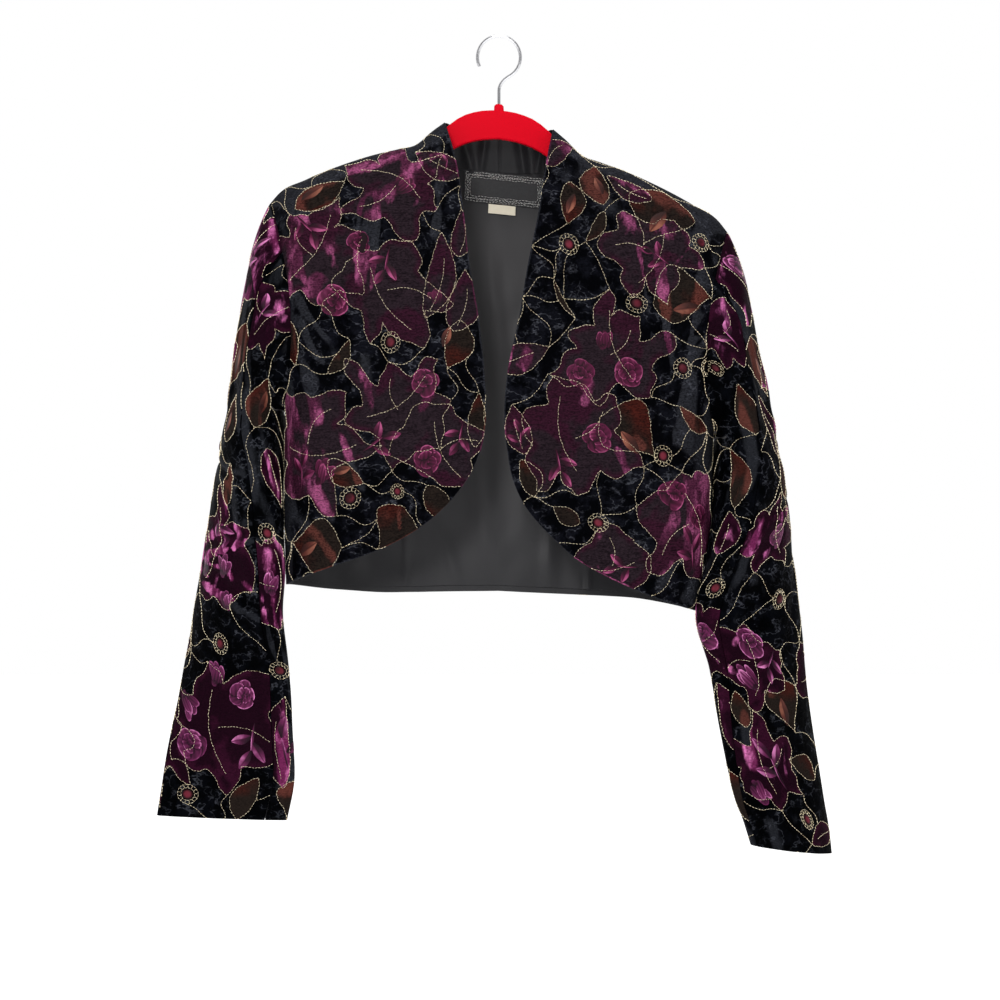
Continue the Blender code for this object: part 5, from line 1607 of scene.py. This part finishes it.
def plain_cloth(name, dark, light, scale):
    """Woven tape in two near colours."""
    made = Nodes(name)
    made.drive("Base Color", made.blend(made.spots(scale, 3.0), dark, light))
    made.set(Roughness=0.75, Specular_IOR_Level=0.25)
    made.bump(made.spots(1400, 2.0, 0.5, (1, 1, 0.4)), 0.0002, 0.5)
    return made.material


def red_plastic():
    """Moulded red plastic with faint flow marks."""
    made = Nodes("red_plastic")
    flow = made.spots(14, 2.0, 0.5, (0.4, 1, 1))
    made.drive("Base Color", made.blend(flow, (0.470, 0.0001, 0.0070), (0.515, 0.0002, 0.0100)))
    made.drive("Roughness", made.between(flow, -1.2, 3.0))
    made.set(Specular_IOR_Level=0.025, Coat_Weight=0.004, Coat_Roughness=0.25)
    made.bump(made.spots(500, 2.0), 0.0001, 0.2)
    return made.material


def hook_steel():
    """Bright drawn wire."""
    made = Nodes("hook_steel")
    drawn = made.spots(60, 2.0, 0.5, (8, 8, 1))
    made.drive("Base Color", made.blend(drawn, (0.52, 0.52, 0.54), (0.68, 0.68, 0.70)))
    made.drive("Roughness", made.between(drawn, -0.6, 3.0))
    made.set(Metallic=1.0)
    return made.material


def painted_streaks(panel):
    """Strength of the tabled streaks of painted sheen at each point of a panel."""
    total = np.zeros(panel.cloth.shape[:2])
    for across_1, down_1, across_2, down_2, half_width, strength in PAINTED_GLEAMS[panel.name]:
        start = np.array([across_1, down_1]) / MM
        run = np.array([across_2, down_2]) / MM - start
        away = panel.cloth - start
        t = np.clip(away @ run / (run @ run), 0, 1)
        gap = np.linalg.norm(away - t[..., None] * run, axis=-1)
        total = np.maximum(total, strength * np.exp(-(gap * MM / half_width) ** 2) * (1 - (2 * t - 1) ** 4))
    return total


def painted_sheen_values(panel):
    """Share of painted sheen at each point: painted streaks, highlights painted on folds' crowns and on cloth
    that turns away from the front.
    """
    points = panel.outer
    smooth = points.copy()
    for _ in range(SMOOTH_ROUNDS):
        inner = smooth[1:-1, 1:-1]
        around = smooth[:-2, 1:-1] + smooth[2:, 1:-1] + smooth[1:-1, :-2] + smooth[1:-1, 2:]
        inner += (around / 4 - inner) * SMOOTH_SHARE
    crown = ease(np.sum((points - smooth) * panel.normal, axis=-1) / CROWN_HEIGHT)
    turned_away = ease((1 - np.abs(panel.normal[..., 1]) - TURNED_FROM) / TURNED_RUN)
    share = PAINTED_SHEEN_SHARE.get(panel.name, 1.0)
    painted_sheen = np.maximum(painted_streaks(panel), share * CROWN_SHEEN * crown)
    painted_sheen = np.clip(painted_sheen + share * TURNED_SHEEN * turned_away, 0, 1)
    if panel.name.startswith("front"):
        painted_sheen[:, -1] = painted_sheen[0] = EDGE_SHEEN
    return painted_sheen


# Building


def dressed_panel(panel, materials):
    """A printed velvet panel with its stitching, roses and medallion stones."""
    rows = CHARTS[panel.name]
    motifs = [motif(row) for row in rows if row[0] not in PATCH_KINDS]
    piece = cloth_wall("velvet_" + panel.name, panel.outer, panel.inner,
                       (materials[panel.part + "_velvet"], materials["satin"]), panel.name)
    layers = print_layers(panel, motifs)
    for name, values in layers.items():
        add_values(piece, name, both_sides(values))
    # Painted sheen: the share of highlight that the velvet paints into its colour
    add_values(piece, "painted_sheen", both_sides(painted_sheen_values(panel)))

    thread = Thread(panel)
    stones, roses, embers = Patches(panel), Patches(panel), Patches(panel)
    for item in motifs:
        thread.sew(item["outline"], closed=True)
        for vein in item["veins"]:
            thread.sew(vein)
        if item["layer"] == "ring":
            sew_medallion(thread, stones, item["row"])
    for line in connecting_lines(panel, motifs):
        thread.sew(line)
    for row in rows:
        if row[0] in FLOWERS:
            roses.add(row, *petal_patch(uneven_petals(row)))
        if row[0] == "ember":
            embers.add(row, *leaflet_patch(*EMBER_LEAFLET))
        if row[0] == "sprig":
            for leaflet in SPRIG_LEAFLETS:
                roses.add(row, *leaflet_patch(*leaflet))
    with_pieces = [thread.mesh("gold_stitching_" + panel.name, materials["gold"])]
    raised = (("stones", stones, "medallion_stone"), ("roses", roses, panel.part + "_rose"),
              ("embers", embers, "ember_print"))
    for kind, patches, looks in raised:
        if patches.points:
            with_pieces.append(patches.mesh(kind + "_" + panel.name, materials[looks]))


def sew_medallion(thread, stones, row):
    """Inner ring, spokes and stone of a medallion."""
    inner = ellipse(MEDALLION_WIDTH, MEDALLION_POINTS) * MEDALLION_INNER
    thread.sew(turned(inner, row), closed=True)
    rim = ellipse(MEDALLION_WIDTH, MEDALLION_SPOKES)
    for spoke in rim:
        thread.sew(turned(np.linspace(spoke * MEDALLION_INNER, spoke, SPOKE_POINTS), row))
    stones.add(row, *dome_patch())


def inside_grid(halves, side, across, up, lift):
    """Points raised from the inside of a half back, at fractions across it and up it."""
    columns, rows, outer, inner, _ = halves[side]
    raised = inner + unit(inner - outer) * lift
    at_rows = np.stack([
        [np.interp(up, rows, raised[:, c, k]) for c in range(len(columns))] for k in range(3)], -1)
    grid = np.stack([
        [np.interp(across, columns, at_rows[:, r, k]) for r in range(len(up))] for k in range(3)], -1)
    return hung(grid, side)


def wrinkled(grid):
    """A grid of satin inside the back, with its wrinkles raised to the front."""
    raised = grid.copy()
    drop = -NUB_DROP - grid[..., 2] - grid[..., 0] * TILT
    raised[..., 1] -= fold_height(SATIN_FOLDS, grid[..., 0], drop)
    return raised


def inside_back(halves, materials):
    """Satin lining and the two neck facings on the back's inside."""
    across = np.linspace(LINING_FIRST, 1.0, LINING_GRID[0])
    up = np.linspace(LINING_FOOT, LINING_TOP, LINING_GRID[1])
    grids = []
    for lift in (LINING_STAND, LINING_STAND + LINING):
        grids.append(wrinkled(joined(*[inside_grid(halves, side, across, up, lift) for side in SIDES])))
    cloth = (materials["satin"],)
    lining = cloth_wall("satin_lining_back", grids[1], grids[0], cloth, "lining_back")
    for side in SIDES:
        across = np.linspace(FACING_COLUMN, 1.0 - FACING_SEAM, FACING_GRID[0])
        up = np.linspace(FACING_FOOT, FACING_TOP, FACING_GRID[1])
        under = wrinkled(inside_grid(halves, side, across, up, LINING_STAND))
        over = wrinkled(inside_grid(halves, side, across, up, LINING_STAND + LINING))
        name = "neck_facing_" + side
        facing = cloth_wall("satin_" + name, over, under, cloth, name)


def patch_panel(name, size, centre, lift, grid):
    """A small flat piece that lies inside the back's centre."""
    columns, rows = (np.linspace(-0.5, 0.5, count) * length for count, length in zip(grid, size))
    across, down = np.meshgrid(columns, rows)
    out = centre[0] + across * math.cos(LABEL_TURN) - down * math.sin(LABEL_TURN)
    drop = centre[1] + across * math.sin(LABEL_TURN) + down * math.cos(LABEL_TURN)
    grids = []
    for rise in (lift + LABEL_CLOTH, lift):
        depth = body_depth("left", "back", np.abs(out), drop) - rise
        grids.append(hung(np.stack([out, depth, -drop], -1)))
    return Panel(name, *grids, np.stack([across, down], -1))


def rectangle(inset):
    """Closed outline of the label, set in from its edge."""
    half_width, half_height = LABEL_SIZE[0] / 2 - inset, LABEL_SIZE[1] / 2 - inset
    return np.array([(-half_width, -half_height), (half_width, -half_height), (half_width, half_height),
                     (-half_width, half_height)])


def label_border(panel, material):
    """Pale woven border of the label: two lines round it, and two crossing waves between them."""
    thread = Thread(panel)
    for inset in (BORDER_INSET - BORDER_WAVE, BORDER_INSET + BORDER_WAVE):
        thread.sew(rectangle(inset), closed=True)
    middle = rectangle(BORDER_INSET)
    turns = np.linspace(0, 1, BORDER_POINTS)
    line = along(np.concatenate([middle, middle[:1]]), turns)
    for way in (1, -1):
        swing = way * BORDER_WAVE * BORDER_SWING * np.sin(turns * 2 * np.pi * BORDER_WAVES)[:, None]
        thread.sew(line * (1 + swing / np.linalg.norm(line, axis=1, keepdims=True)))
    return thread.mesh("label_border", material)


def labels(materials):
    """Bare label with a plain woven border, and the bare size tab below it."""
    lift = CLOTH + LINING_STAND + LINING + LABEL_STAND
    panel = patch_panel("label", LABEL_SIZE, LABEL_CENTRE, lift, LABEL_GRID)
    label = cloth_wall("woven_label", panel.outer, panel.inner, (materials["label_weave"],),
                       "label")
    border = label_border(panel, materials["label_thread"])
    panel = patch_panel("size_tab", TAB_SIZE, TAB_CENTRE, lift + LABEL_CLOTH + SEAM_GAP, TAB_GRID)
    tab = cloth_wall("woven_size_tab", panel.outer, panel.inner, (materials["tab_weave"],),
                     "size_tab")


def hanger(materials):
    """The CAD hanger and hook with their finishes."""
    for name, material in (("hanger_bar", materials["plastic"]), ("hanger_hook", materials["steel"])):
        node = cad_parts[name]
        node.data.materials.clear()
        node.data.materials.append(material)


def pale_floor():
    """Pale floor that glows a little, so that it melts into the room."""
    corners = [(x * FLOOR_HALF, y * FLOOR_HALF, FLOOR_Z) for x, y in ((-1, -1), (1, -1), (1, 1), (-1, 1))]
    mesh = bpy.data.meshes.new("floor")
    mesh.from_pydata(corners, [], [(0, 1, 2, 3)])
    floor = in_scene("floor", mesh)
    pale = Nodes("floor")
    pale.set(Base_Color=(0.93, 0.93, 0.93, 1.0), Roughness=0.9, Emission_Color=(1.0, 1.0, 1.0, 1.0),
             Emission_Strength=0.55)
    mesh.materials.append(pale.material)


def room():
    """White room, dimmer in front of the jacket than behind it, and full white to the camera."""
    world = bpy.data.worlds.new("studio")
    bpy.context.scene.world = world
    world.use_nodes = True
    tree = world.node_tree
    background = tree.nodes["Background"]
    background.inputs["Color"].default_value = (1.0, 1.0, 1.0, 1.0)
    way = tree.nodes.new("ShaderNodeTexCoord")
    split = tree.nodes.new("ShaderNodeSeparateXYZ")
    tree.links.new(way.outputs["Generated"], split.inputs["Vector"])
    share = tree.nodes.new("ShaderNodeMapRange")
    limits = {"From Min": -0.5, "From Max": 0.5, "To Min": ROOM_FRONT, "To Max": ROOM_BACK}
    for socket, given in limits.items():
        share.inputs[socket].default_value = given
    tree.links.new(split.outputs["Y"], share.inputs["Value"])
    seen = tree.nodes.new("ShaderNodeLightPath")
    strength = tree.nodes.new("ShaderNodeMath")
    strength.operation = "MAXIMUM"
    tree.links.new(share.outputs["Result"], strength.inputs[0])
    tree.links.new(seen.outputs["Is Camera Ray"], strength.inputs[1])
    tree.links.new(strength.outputs["Value"], background.inputs["Strength"])


def lamps():
    """Soft studio lamps, aimed at the middle of the jacket."""
    for name, place, size, power in LAMPS:
        light = bpy.data.lights.new(name, "AREA")
        light.size = size
        light.energy = power
        lamp = in_scene(name, light)
        lamp.location = place
        aim = Vector(LAMP_AIM) - lamp.location
        lamp.rotation_euler = aim.to_track_quat("-Z", "Y").to_euler()


def camera():
    """Camera square to the fronts."""
    lens = bpy.data.cameras.new("camera")
    lens.sensor_width = SENSOR
    lens.lens = SENSOR * CAMERA_DISTANCE / FRAME_WIDTH
    viewer = in_scene("camera", lens)
    viewer.location = (FRAME_CENTRE[0], -CAMERA_DISTANCE, FRAME_CENTRE[1])
    viewer.rotation_euler = (math.pi / 2, 0.0, 0.0)
    bpy.context.scene.camera = viewer
    bpy.context.scene.view_settings.view_transform = "Standard"


def main():
    """Dresses the part."""
    materials = {"satin": satin(), "gold": gold_thread(), "plastic": red_plastic(), "steel": hook_steel()}
    for name, colours in PRINTS.items():
        materials[name] = printed(name, *colours)
    for name, looks in WEAVES.items():
        materials[name] = plain_cloth(name, *looks)
    for name, looks in VELVETS.items():
        materials[name] = velvet(name, looks)
    halves = {side: back_half(side) for side in SIDES}
    dressed_panel(back_panel(halves), materials)
    for side in SIDES:
        dressed_panel(front_panel(side), materials)
        for piece in ("top", "under"):
            dressed_panel(sleeve_piece(side, piece), materials)
    inside_back(halves, materials)
    labels(materials)
    hanger(materials)
    pale_floor()
    room()
    lamps()
    camera()


main()
